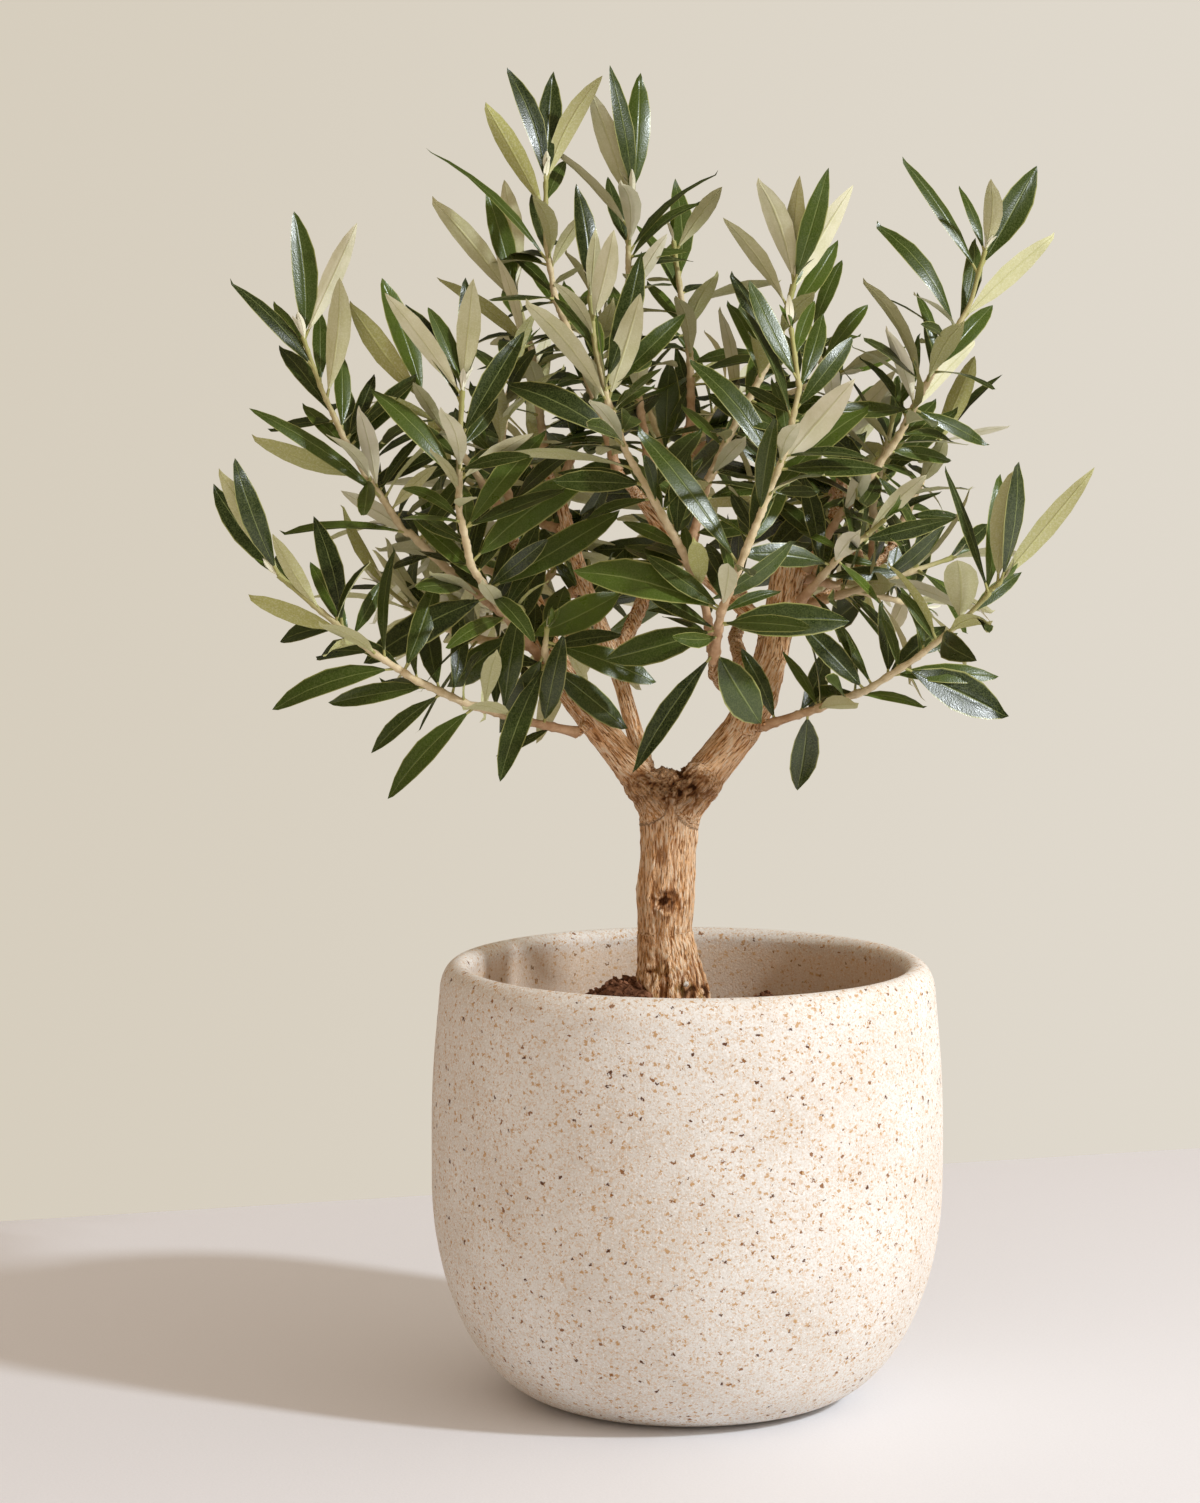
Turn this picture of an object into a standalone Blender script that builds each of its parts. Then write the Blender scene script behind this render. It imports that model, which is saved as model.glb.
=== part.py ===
"""A potted olive bonsai: a turned stoneware pot, its soil, the wood, and one object for each leafy shoot.

Units are metres with +Z up. The origin is the middle of the pot's flat base, and the front of the
tree looks along -Y. Plant measures are written in millimetres and turned into metres by MM.
"""
import math
import random

import bmesh
import bpy
import numpy as np
from mathutils import Vector
from mathutils.bvhtree import BVHTree

MM = 0.001
GAP = 0.3 * MM                  # between two pieces that touch

# Pot
POT_HEIGHT = 170.4 * MM
BELLY_RADIUS = 100.0 * MM
BELLY_LEVEL = 85.0 * MM
BASE_RADIUS = 52.0 * MM
SHOULDER_RADIUS = 96.9 * MM
SHOULDER_LEVEL = 158.5 * MM
UPPER_BULGE = 1.2 * MM          # how far the upper wall bulges halfway between belly and shoulder
LIP_RADIUS = 4.7 * MM           # of the rim's rounded inner edge
RIM_CREST_RADIUS = 89.8 * MM
WALL = 11.0 * MM
FLOOR = 13.0 * MM
TURN_STEPS = 24

# Soil
SOIL_LEVEL = 140.0 * MM         # where it meets the pot's wall
SOIL_RINGS = 5
MOUND_HEIGHT = 21.0 * MM
MOUND_SPREAD = 30.0 * MM
MOUND_CENTRE = (-18.0 * MM, 0.0)
TRUNK_FOOT = 116.0 * MM         # the trunk's lower end, in a plain hole in the soil
TRUNK_HOLE_RADIUS = 17.0 * MM

# Wood: the axis of each branch and its radius at every point
TRUNK_X = -6.0
WOOD = {
    "trunk": ([(TRUNK_X, 0, TRUNK_FOOT / MM), (TRUNK_X, 0, 142), (TRUNK_X, 0, 157), (-6.5, 0, 164),
               (-7.5, 0, 172), (-8.8, 0, 182), (-8.3, 0, 196), (-7.6, 0, 213), (-7, 0, 225), (-7, 0, 238)],
              [14, 15.6, 15.2, 14, 12.4, 10.9, 11.4, 10.9, 11.8, 14]),
    "left_limb": ([(-10, 0, 231), (-21, -2, 245), (-31, -4, 258), (-43, -7, 273), (-52, -10, 287),
                   (-57, -12, 293)],
                  [9, 7, 6.4, 5.8, 5, 4.6]),
    "right_limb": ([(-3, 0, 231), (9, 0, 246), (20, 0, 260), (28, 2, 273), (32, 6, 288), (36, 10, 305),
                    (40, 14, 326)],
                   [9.6, 8, 7.6, 7.4, 6.8, 6.6, 6.8]),
    "back_limb": ([(-17, 2, 246), (-21, 9, 261), (-25, 19, 275), (-31, 32, 292), (-39, 42, 312),
                   (-46, 42, 334), (-50, 38, 350)],
                  [4.8, 3.8, 3.6, 3.6, 3.4, 3, 2.6]),
    "front_branch": ([(26, 1, 271), (17, -18, 277), (9, -37, 286)], [4.4, 3.8, 3.2]),
    "middle_branch": ([(33, 8, 297), (20, 14, 309), (4, 17, 322), (-9, 16, 335), (-17, 15, 348)],
                      [4.2, 3.8, 3.4, 3, 2.6]),
    "inner_left": ([(-40, -6, 271), (-52, 6, 293), (-61, 8, 316), (-68, 2, 336)], [3.8, 3.2, 2.8, 2.4]),
    "back_top": ([(-28, 27, 285), (-17, 40, 308), (-5, 45, 340), (0, 45, 372)], [3.4, 3.2, 2.8, 2.4]),
    "right_back": ([(29, 5, 285), (42, 22, 305), (54, 32, 330), (61, 34, 352)], [4.2, 3.4, 2.8, 2.4]),
    "right_far": ([(40, 19, 302), (60, 34, 314), (78, 42, 325)], [3.2, 2.8, 2.4]),
    "back_right": ([(27, 4, 280), (22, 28, 284), (20, 56, 292), (26, 82, 304)], [4, 3.6, 3, 2.6]),
    "back_left": ([(-31, 32, 292), (-48, 52, 297), (-68, 70, 304)], [3.4, 3, 2.6]),
}
# Knobs of healed bark where the limbs part: centre and half sizes
BURLS = [
    ((-7, -1, 236), (15.5, 12.5, 9.5)),
    ((-17, -3, 240), (7, 8, 7)),
    ((4, -4, 241), (8, 8, 8)),
]
ROOT_COUNT = 5
ROOT_LINE = ((6, 176), (10.5, 160), (12.2, 140))    # away from the trunk's axis, and height
ROOT_RADII = (4, 4.6, 3.6)
COLLAR_RADIUS = 2.5             # the short stump of wood that carries a shoot
COLLAR_LENGTH = 4.5
TWIG_RADIUS = 1.7
TWIG_TIP_RADIUS = 1.1
TWIG_STEP = 21.0                # between the bends of a twig

# Leaves
LEAF_WIDTH = 0.20               # of the leaf's length, where no width is given
LEAF_THICKNESS = 0.95
STALK = 4.0
STALK_RADIUS = 0.55
OFF_TWIG = 2.2                  # from a leaf's foot to just outside the twig
BLADE_RINGS = ((0.36, 0.97), (0.68, 0.88))      # how far along the leaf, and its share of the width
LEAF_ARCH = 0.05                # rise of the midrib above a straight line, of the length
CLEAR = 0.45                    # kept free around a leaf, on each side
DEPTH_LEAF_START = 24.0
DEPTH_LEAF_STEP = 30.0
DEPTH_TRIES = (0, 4, -4, 8, -8, 12, -12, 17, -17)

# The shoots that show in front: the way each twig runs, then its leaves. A leaf is the distance of
# its foot along the twig, the way from there to its tip (right, up), how far it turns its upper
# face to the front (10 is fully, a minus sign shows the pale underside), and for some its width.
SHOOTS = {
    "shoot_low_left": (
        [(-45, -17, 262), (-60, -24, 266), (-78, -29, 271), (-105, -38, 284), (-126, -42, 299),
         (-155, -46, 324)],
        [(8, -22, -12, 3), (24, -3, -15, 7), (40, -34, -36, 7), (54, -28, -24, 7),
         (60, -39, -7, 8), (74, -48, -16, 7, 10), (70, -24, 12, 7), (80, 3, 43, 2),
         (96, -16, 27, 7), (100, -11, 42, 6), (98, -37, 14, -7, 8), (110, -17, 30, -9),
         (126, -30, 37, 4), (130, -22, 41, -10), (134, -15, 44, 8)]),
    "shoot_left_up": (
        [(-61, -12, 299), (-84, -14, 317), (-107, -16, 338), (-127, -16, 366), (-139, -14, 390),
         (-147, -12, 412)],
        [(30, 8, 36, 5), (60, -50, 1, 2), (76, -50, 35, 6, 8), (80, -6, 33, -9), (86, -44, 17, -6),
         (92, -8, 34, 9), (96, -21, 20, 8), (102, 10, 26, 6), (106, -1, 31, 8), (112, -23, 28, 7),
         (120, 6, 46, -10, 10), (126, -1, 29, 8), (132, -32, 35, 6, 9), (140, -14, 19, 5),
         (144, -4, 49, 8, 10), (146, 21, 44, -8, 8)]),
    "shoot_left_mid": (
        [(-58, -19, 292), (-73, -30, 311), (-83, -38, 328), (-87, -45, 351), (-86, -50, 374),
         (-85, -52, 393)],
        [(8, 36, 17, 8, 13), (12, -28, -22, 8, 12), (20, -35, -28, -2), (22, 19, 23, 8),
         (31, -49, -26, 8, 14), (34, 50, 30, 8), (38, -27, 24, 8), (47, 46, 34, 9, 13),
         (56, -20, 11, 4), (60, 31, 38, 7), (64, -23, 12, 7), (78, -33, 36, 7), (80, 28, 18, -6),
         (92, 14, 19, 8), (96, 24, 40, 8), (108, -21, 38, 7), (112, -28, 38, -7),
         (114, -13, 31, 7), (117, 1, 42, 8), (118, 5, 41, -8)]),
    "shoot_centre": (
        [(8, -43, 297), (4, -52, 317), (-10, -52, 345), (-18, -50, 358), (-28, -48, 378),
         (-36, -44, 409), (-38, -42, 428)],
        [(33, -2, 16, 6), (40, -22, 10, 8), (55, -5, 18, 7), (62, -25, -8, 7), (68, -33, 4, 8),
         (74, -54, 6, -3), (84, -44, 24, 8, 12), (100, -31, 40, -4), (102, 12, 40, -8, 10),
         (106, 30, 29, 8), (108, 14, 50, 8, 10), (120, -16, 22, 5), (126, -15, 21, -6),
         (132, 8, 34, -9, 9), (140, 2, 27, -3), (143, -5, 42, 8)]),
    "shoot_centre_right": (
        [(9, -45, 293), (11, -60, 311), (17, -68, 327), (30, -72, 360), (36, -72, 377),
         (39, -70, 394), (36, -66, 415)],
        [(2, -31, -46, 5, 9), (3, 18, -29, 9, 16), (14, -42, -12, 8, 13), (16, 49, 1, 8, 15),
         (22, 23, 8, 4), (23, -55, 15, 8, 16), (43, -37, 52, 7, 11), (50, 16, 33, 8, 11),
         (66, 40, 38, 1), (80, -32, 42, 8), (82, 27, 33, -9, 11), (88, -4, 28, 9),
         (100, -19, 44, 3), (104, 22, 27, 8), (111, 10, 29, 6), (115, -18, 37, 7), (124, 8, 21, 7)]),
    "shoot_right_mid": (
        [(2, 1, 336), (9, -2, 361), (25, -6, 392), (35, -8, 413), (40, -8, 433)],
        [(31, 8, 18, 7), (36, -16, 17, 7), (62, 14, 16, 8), (66, -12, 30, 8), (74, -14, 34, 6),
         (70, 26, 12, 7), (90, 21, 31, 5), (95, -25, 34, -6), (100, 24, 42, -7, 9),
         (105, -14, 40, -8, 10), (107, 2, 41, -3), (108, 13, 44, 6)]),
    "shoot_top_left": (
        [(-28, 9, 363), (-40, 14, 400), (-47, 16, 415), (-54, 18, 436), (-55, 18, 453),
         (-55, 18, 472)],
        [(57, 13, 17, 5), (64, -12, 19, 7), (70, -18, 17, 8), (80, 14, 22, -5),
         (82, -48, 45, 4, 8), (84, -7, 26, 5), (102, -23, 42, -8, 9), (106, 8, 18, 8),
         (112, -15, 46, 7, 9), (114, 22, 41, -8, 8), (116, 3, 44, 8, 10)]),
    "shoot_top_mid": (
        [(-15, 21, 364), (-20, 25, 396), (-23, 28, 427), (-23, 28, 446), (-21, 26, 468)],
        [(52, -10, 20, 7), (64, 15, 25, -5), (78, 28, 24, 3), (81, 35, 33, 2), (84, -8, 28, 8),
         (91, -31, 33, -4), (99, -16, 45, -8, 10), (101, -8, 22, 5), (103, -9, 51, 6, 9),
         (104, 3, 48, 8, 10)]),
    "shoot_right_up": (
        [(47, 10, 324), (58, 7, 342), (72, 4, 361), (81, 2, 374), (89, 0, 390), (96, 0, 400),
         (101, -2, 414), (108, -2, 426), (113, -4, 445)],
        [(34, -15, 11, 7), (44, 18, -26, 7), (54, 26, -4, 8), (70, 26, 29, -5), (68, -18, 25, 5),
         (73, 31, -14, 8), (74, -12, 31, -8), (80, -23, 44, -4), (87, -1, 21, 7), (90, 24, 25, 6),
         (92, -7, 28, 5), (107, -30, 42, 7, 9), (109, 8, 34, 8), (111, 36, 34, -6, 9),
         (130, -29, 45, 6, 8), (132, 23, 40, 7, 12), (138, 1, 28, -7, 8), (140, -9, 26, 5)]),
    "shoot_low_right": (
        [(31, -10, 264), (46, -22, 270), (67, -32, 279), (89, -42, 295), (110, -50, 314),
         (116, -52, 322)],
        [(19, -3, -32, 9, 12), (24, -13, 21, 6), (40, 28, -5, 3), (42, -19, -11, 8, 10),
         (48, -15, 27, 7), (56, 42, -1, 6), (60, -5, 20, 6), (62, 41, -19, 9, 16), (69, 17, 8, 7),
         (72, -8, 21, 7), (79, -19, 31, -5), (90, -3, 25, -10, 13), (94, 22, 16, 7),
         (104, 6, 46, 8, 9), (106, -17, 48, 5, 7), (108, 37, 46, -6, 8), (111, 5, 43, -8, 10),
         (113, 5, 45, 5), (115, 20, 41, 4)]),
    "shoot_behind_left": (
        [(-55, 34, 362), (-59, 32, 393), (-62, 34, 415), (-67, 34, 429)],
        [(28, 11, 11, 6), (36, 7, 12, 5), (38, -12, 20, 7), (46, -37, 28, -6, 9),
         (62, -34, 44, -8, 9), (66, -12, 44, 7), (68, -5, 46, -6)]),
    "shoot_inner_left": (
        [(-73, -5, 347), (-82, -9, 361), (-90, -12, 372), (-97, -14, 382), (-102, -14, 390)],
        [(29, -13, 6, -4), (35, -12, 20, -5), (40, -23, 11, -5), (48, -30, 40, -7),
         (51, -16, 46, 6)]),
    "shoot_behind_right": (
        [(83, 43, 333), (95, 48, 358), (101, 50, 372)],
        [(24, 9, -11, -5), (34, -10, 22, 7), (38, 14, 38, -5), (41, 26, 28, 2), (42, 28, 7, -3)]),
    "shoot_top_behind": (
        [(2, 45, 379), (1, 46, 415), (-4, 46, 434), (-5, 46, 450)],
        [(27, 11, 40, 3), (37, -15, 19, 7), (47, -18, 31, 3), (56, -1, 41, 7), (60, -12, 38, 2),
         (67, 18, 25, -9)]),
    "shoot_inner_right": (
        [(61, 35, 359), (57, 36, 388), (49, 36, 415)],
        [(36, -6, 22, 7), (44, 19, 23, 7), (50, 19, 6, 5), (56, 12, 29, 5)]),
    "shoot_right_inner": (
        [(45, 5, 312), (54, -10, 325), (64, -17, 333), (74, -22, 343)],
        [(14, 31, 1, 6), (26, 18, -18, 6), (30, -17, 8, 6), (38, 38, 9, 6), (42, 22, 23, -7)]),
    "shoot_limb_tip": (
        [(-52, -19, 284), (-55, -28, 293), (-54, -34, 303)],
        [(5, 30, -25, 8, 12), (8, -18, -45, 7), (13, -18, -33, 8, 10), (18, 42, -16, 8, 12)]),
}

# The shoots of the sides and the back reach for places spread evenly over an egg-shaped crown
CROWN_CENTRE = np.array([-8.0, 24.0, 330.0])
CROWN_HALF = np.array([112.0, 108.0, 92.0])
CROWN_PLACES = 50
CROWN_FRONT = 0.0               # places nearer the front than this are left to the shoots above
CROWN_LOW = 1.5                 # how far down the egg the places go, 2 being its lower end
CARRIER_LEVEL = 262.0           # no shoot grows from wood below this
FEET_APART = 9.0                # between the feet of two shoots on the wood
SHOOT_TRIES = 14
TWIGS_APART = 5.0
GOLDEN_ANGLE = math.pi * (3 - math.sqrt(5))
REACH = 72.0                    # the length that a shoot of the back would like to have
LEAF_PAIR_STEP = 15.0
SEED = 11


def material(name, colour, roughness):
    """A plain Principled material."""
    made = bpy.data.materials.new(name)
    made.use_nodes = True
    made.diffuse_color = (*colour, 1)
    shader = made.node_tree.nodes["Principled BSDF"]
    shader.inputs["Base Color"].default_value = (*colour, 1)
    shader.inputs["Roughness"].default_value = roughness
    shader.inputs["Metallic"].default_value = 0
    return made


def add_object(name, mesh, collection, look=None):
    """Put a mesh in the scene as an object, with a material if one is given."""
    made = bpy.data.objects.new(name, mesh)
    collection.objects.link(made)
    if look:
        mesh.materials.clear()
        mesh.materials.append(look)
    return made


def evaluated_mesh(source):
    """The mesh that an object shows once its curve settings and modifiers have worked."""
    graph = bpy.context.evaluated_depsgraph_get()
    graph.update()
    return bpy.data.meshes.new_from_object(source.evaluated_get(graph))


def drop(objects):
    for old in objects:
        bpy.data.objects.remove(old, do_unlink=True)


def turned(name, profile, collection):
    """Turn a profile of (radius, height) points about the upright axis with a Screw modifier."""
    mesh = bpy.data.meshes.new(name)
    points = [(radius, 0, height) for radius, height in profile]
    mesh.from_pydata(points, [(i, i + 1) for i in range(len(points) - 1)], [])
    source = add_object(name, mesh, collection)
    screw = source.modifiers.new("Turn", "SCREW")
    screw.steps = TURN_STEPS
    screw.render_steps = TURN_STEPS
    screw.use_merge_vertices = True
    screw.merge_threshold = 0.00001
    made = evaluated_mesh(source)
    drop([source])
    return made


def tube(name, points, radii, level, collection):
    """A closed tube along points, both in millimetres, from a curve with a round bevel and flat ends."""
    curve = bpy.data.curves.new(name, "CURVE")
    curve.dimensions = "3D"
    curve.bevel_depth = MM
    curve.bevel_resolution = level
    curve.use_fill_caps = True
    line = curve.splines.new("POLY")
    line.points.add(len(points) - 1)
    for spot, place, radius in zip(line.points, points, radii):
        spot.co = (*(np.array(place) * MM), 1)
        spot.radius = radius
    source = bpy.data.objects.new(name, curve)
    collection.objects.link(source)
    mesh = evaluated_mesh(source)
    drop([source])
    weld = bmesh.new()
    weld.from_mesh(mesh)
    bmesh.ops.remove_doubles(weld, verts=weld.verts, dist=0.000001)
    weld.to_mesh(mesh)
    weld.free()
    return add_object(name, mesh, collection)


def united(name, base, others, collection, look, operation="UNION"):
    """One closed body: a Boolean on a collection of the others, applied to the base."""
    joined = bpy.data.collections.new(name + "_pieces")
    for other in others:
        joined.objects.link(other)
    boolean = base.modifiers.new("Join", "BOOLEAN")
    boolean.operation = operation
    boolean.solver = "EXACT"
    boolean.operand_type = "COLLECTION"
    boolean.collection = joined
    mesh = evaluated_mesh(base)
    drop([base, *others])
    bpy.data.collections.remove(joined)
    mesh.name = name
    return add_object(name, mesh, collection, look)


def unit(vector):
    return vector / np.linalg.norm(vector)


def arc(centre, half_width, half_height, start, end, count):
    """Points on part of an ellipse, from one angle to another, in degrees."""
    turns = np.radians(np.linspace(start, end, count))
    return [(centre[0] + half_width * math.cos(turn), centre[1] + half_height * math.sin(turn))
            for turn in turns]


def pot_inside():
    """The inner side of the pot's wall, from the floor up to the lip."""
    bowl = arc((BASE_RADIUS - WALL, BELLY_LEVEL), BELLY_RADIUS - BASE_RADIUS, BELLY_LEVEL - FLOOR, -84, 0, 5)
    return bowl + [(RIM_CREST_RADIUS - LIP_RADIUS, SHOULDER_LEVEL)]


def build_pot(parts):
    """A thick turned pot: a round bowl below, nearly straight above, rounded over at the rim."""
    lip = arc((RIM_CREST_RADIUS, POT_HEIGHT - LIP_RADIUS), LIP_RADIUS, LIP_RADIUS, 180, 120, 3)
    shoulder = arc((RIM_CREST_RADIUS, SHOULDER_LEVEL), SHOULDER_RADIUS - RIM_CREST_RADIUS,
                   POT_HEIGHT - SHOULDER_LEVEL, 90, 0, 5)
    halfway = ((SHOULDER_RADIUS + BELLY_RADIUS) / 2 + UPPER_BULGE, (SHOULDER_LEVEL + BELLY_LEVEL) / 2)
    bowl = arc((BASE_RADIUS, BELLY_LEVEL), BELLY_RADIUS - BASE_RADIUS, BELLY_LEVEL, 0, -90, 7)
    profile = [(0, FLOOR)] + pot_inside() + lip + shoulder + [halfway] + bowl + [(0, 0)]
    mesh = turned("pot", profile, parts)
    mesh.shade_smooth()
    mesh.set_sharp_from_angle(angle=math.radians(40))
    add_object("pot", mesh, parts, material("pot_stoneware", (0.78, 0.71, 0.60), 0.75))


def build_soil(parts, cutters):
    """Soil that fills the pot, higher beside the trunk, with a plain round hole for the trunk's foot."""
    slack = 1.5 * GAP
    inside = [(radius - slack, level + slack) for radius, level in pot_inside()]
    wall = [point for point in inside if point[1] < SOIL_LEVEL]
    (low_radius, low), (high_radius, high) = inside[-2], inside[-1]
    edge = low_radius + (high_radius - low_radius) * (SOIL_LEVEL - low) / (high - low)
    top = [(edge * ring / SOIL_RINGS, SOIL_LEVEL) for ring in range(SOIL_RINGS + 1)]
    mesh = turned("soil", top + wall[::-1] + [(0, FLOOR + slack)], parts)
    for corner in mesh.vertices:
        x, y, z = corner.co
        if z > SOIL_LEVEL - MM:
            away = math.hypot(x - MOUND_CENTRE[0], y - MOUND_CENTRE[1]) / MOUND_SPREAD
            corner.co.z += MOUND_HEIGHT * math.exp(-away * away)
    soil = add_object("soil", mesh, parts)
    depth = POT_HEIGHT - TRUNK_FOOT + GAP
    bpy.ops.mesh.primitive_cylinder_add(vertices=16, radius=TRUNK_HOLE_RADIUS, depth=depth)
    hole = bpy.context.object
    hole.name = "trunk_hole"
    hole.location = (TRUNK_X * MM, 0, POT_HEIGHT - depth / 2)
    hole.hide_render = True
    hole.display_type = "WIRE"
    cutters.objects.link(hole)
    bpy.context.view_layer.update()
    united("soil", soil, [hole], parts, material("soil_dark", (0.09, 0.055, 0.035), 0.95), "DIFFERENCE")


def along(points, step):
    """Points at even steps on a smooth curve through the given ones (a Catmull-Rom spline)."""
    points = np.array(points, float)
    ends = np.vstack([2 * points[0] - points[1], points, 2 * points[-1] - points[-2]])
    t = np.linspace(0, 1, 12, endpoint=False)[:, None]
    stretches = []
    for a, b, c, d in zip(ends, ends[1:], ends[2:], ends[3:]):
        stretches.append(0.5 * (2 * b + (c - a) * t + (2 * a - 5 * b + 4 * c - d) * t**2
                                + (3 * b - a - 3 * c + d) * t**3))
    fine = np.vstack(stretches + [points[-1:]])
    run = np.concatenate([[0], np.cumsum(np.linalg.norm(np.diff(fine, axis=0), axis=1))])
    count = max(3, round(run[-1] / step) + 1)
    even = np.linspace(0, run[-1], count)
    return np.column_stack([np.interp(even, run, fine[:, axis]) for axis in range(3)])


def at_distance(path, distance):
    """The place on a path at a distance from its start, and the path's direction there."""
    steps = np.diff(path, axis=0)
    lengths = np.linalg.norm(steps, axis=1)
    run = np.concatenate([[0], np.cumsum(lengths)])
    index = min(int(np.searchsorted(run, distance, side="right")) - 1, len(steps) - 1)
    direction = steps[index] / lengths[index]
    return path[index] + direction * (min(distance, run[-1]) - run[index]), direction


def wood_samples():
    """Places every few millimetres along the thinner branches, each with the wood's radius there."""
    places = []
    for name, (points, radii) in WOOD.items():
        points = np.array(points, float)
        for start, end, radius_start, radius_end in zip(points, points[1:], radii, radii[1:]):
            for share in np.linspace(0, 1, 5):
                radius = radius_start + (radius_end - radius_start) * share
                places.append((*(start + (end - start) * share), radius, name == "trunk"))
    return np.array(places, float)


def grown_shoots(wood):
    """Twigs for the sides and the back, each from the wood to its own place on the crown."""
    draw = random.Random(SEED)
    shoots = {}
    twigs = [along(points, TWIG_STEP) for points, _ in SHOOTS.values()]
    stumps = [collar_line(wood, path) for path in twigs]
    carriers = wood[(wood[:, 4] == 0) & (wood[:, 2] > CARRIER_LEVEL)]
    used = []
    for index in range(CROWN_PLACES):
        height = 1 - CROWN_LOW * (index + 0.5) / CROWN_PLACES
        ring = math.sqrt(max(0.0, 1 - height * height))
        turn = index * GOLDEN_ANGLE
        target = CROWN_CENTRE + CROWN_HALF * (ring * math.cos(turn), ring * math.sin(turn), height)
        if target[1] < CROWN_FRONT:
            continue
        for attempt in range(SHOOT_TRIES):
            path = reach(target, carriers, used, draw, attempt)
            stump = collar_line(wood, path)
            if (clear_of_wood(path, wood) and clear_of_lines(path, twigs + stumps)
                    and clear_of_lines(stump, twigs)):
                break
        else:
            continue
        twigs.append(path)
        stumps.append(stump)
        used.append(path[0])
        shoots[f"shoot_back_{len(shoots) + 1:02d}"] = path
    return shoots


def reach(target, carriers, used, draw, attempt):
    """A bent way from a free place on the wood towards a place on the crown."""
    apart = np.linalg.norm(carriers[:, :3] - target, axis=1)
    cost = np.abs(apart - REACH) + np.array([draw.uniform(0, 2 + 3 * attempt) for _ in carriers])
    for place in used:
        cost += REACH * (np.linalg.norm(carriers[:, :3] - place, axis=1) < FEET_APART)
    start = carriers[int(np.argmin(cost))]
    foot = start[:3]
    heading = unit(target - foot)
    bow = unit(np.array([draw.uniform(-1, 1), draw.uniform(-1, 1), draw.uniform(-1.2, 0.2)]))
    first = foot + heading * (start[3] + COLLAR_LENGTH)
    middle = (first + target) / 2 + bow * 0.12 * np.linalg.norm(target - first)
    return along([first, middle, target], TWIG_STEP)


def filled_in(points):
    """Places every few millimetres along straight stretches."""
    points = np.array(points, float)
    shares = np.linspace(0, 1, 6)[:, None]
    return np.vstack([start + (end - start) * shares for start, end in zip(points, points[1:])])


def clear_of_wood(path, wood):
    """Whether a twig keeps off every branch, apart from its first stretch, which leaves its own."""
    fine = filled_in(path)
    apart = np.linalg.norm(fine[:, None, :] - wood[None, :, :3], axis=2) - wood[None, :, 3]
    return apart[0].min() > 3.0 and apart[2:].min() > 4.0


def clear_of_lines(points, others):
    fine = filled_in(points)
    return all(np.linalg.norm(fine[:, None, :] - filled_in(other)[None, :, :], axis=2).min() > TWIGS_APART
               for other in others)


def collar_line(wood, path):
    """The way from the nearest wood to just below a twig's foot, ending in line with the twig."""
    heading = unit(path[1] - path[0])
    below = path[0] - heading * 4
    nearest = wood[int(np.argmin(np.linalg.norm(wood[:, :3] - below, axis=1) - wood[:, 3]))]
    end = path[0] - heading * GAP / MM
    straight = path[0] - heading * np.linalg.norm(nearest[:3] - path[0])
    if np.linalg.norm(wood[:, :3] - straight, axis=1).min() < nearest[3] * 0.6:
        return [straight, end]
    return [nearest[:3], path[0] - heading * 3, end]


def leaf_shape(foot, tip, upper, width, thickness, start=0.0):
    """A leaf of three-cornered rings on an arched midrib: two at the stalk's ends, two in the blade.

    The blade is flat below and ridged along its midrib above, and it ends in a point at the tip.
    The stalk may start at a distance from the foot.
    """
    chord = tip - foot
    length = np.linalg.norm(chord)
    forward = chord / length
    upper = unit(upper - forward * upper.dot(forward))
    across = np.cross(forward, upper)
    rings = [(place / length, STALK_RADIUS * 0.87, STALK_RADIUS) for place in (start, STALK)]
    rings += [(share, width * breadth / 2, thickness / 2) for share, breadth in BLADE_RINGS]
    corners = []
    for share, half, lift in rings:
        middle = foot + chord * share + upper * 4 * LEAF_ARCH * length * share * (1 - share)
        base = middle - upper * lift / 2
        corners += [middle + upper * lift, base - across * half, base + across * half]
    corners.append(tip)
    faces = [(0, 2, 1)]
    for ring in range(0, len(corners) - 4, 3):
        for side in range(3):
            here, there = ring + side, ring + (side + 1) % 3
            faces += [(here, there, there + 3), (here, there + 3, here + 3)]
    last = len(corners) - 4
    faces += [(last + side, last + (side + 1) % 3, last + 3) for side in range(3)]
    return np.array(corners), faces


class Placed:
    """What already stands in the crown, kept as search trees, to try new leaves against."""

    def __init__(self):
        self.trees = []
        self.lows = []
        self.highs = []
        self.owners = []

    def add(self, corners, faces, owner):
        self.trees.append(BVHTree.FromPolygons(corners.tolist(), faces))
        self.lows.append(corners.min(axis=0))
        self.highs.append(corners.max(axis=0))
        self.owners.append(owner)

    def free(self, whole, off_twig, off_leaves, twig, shoot):
        """Whether a leaf touches nothing, leaving out its foot where it stands on its own shoot."""
        corners, faces = whole
        low = corners.min(axis=0)
        high = corners.max(axis=0)
        near = np.all((np.array(self.lows) < high) & (np.array(self.highs) > low), axis=1)
        special = {twig: off_twig, shoot: off_leaves}
        trees = {}
        for index in np.flatnonzero(near):
            owner = self.owners[index]
            if owner not in special:
                owner = None
            if owner not in trees:
                shape = special.get(owner, whole)
                trees[owner] = BVHTree.FromPolygons(shape[0].tolist(), faces)
            if trees[owner].overlap(self.trees[index]):
                return False
        return True


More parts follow.
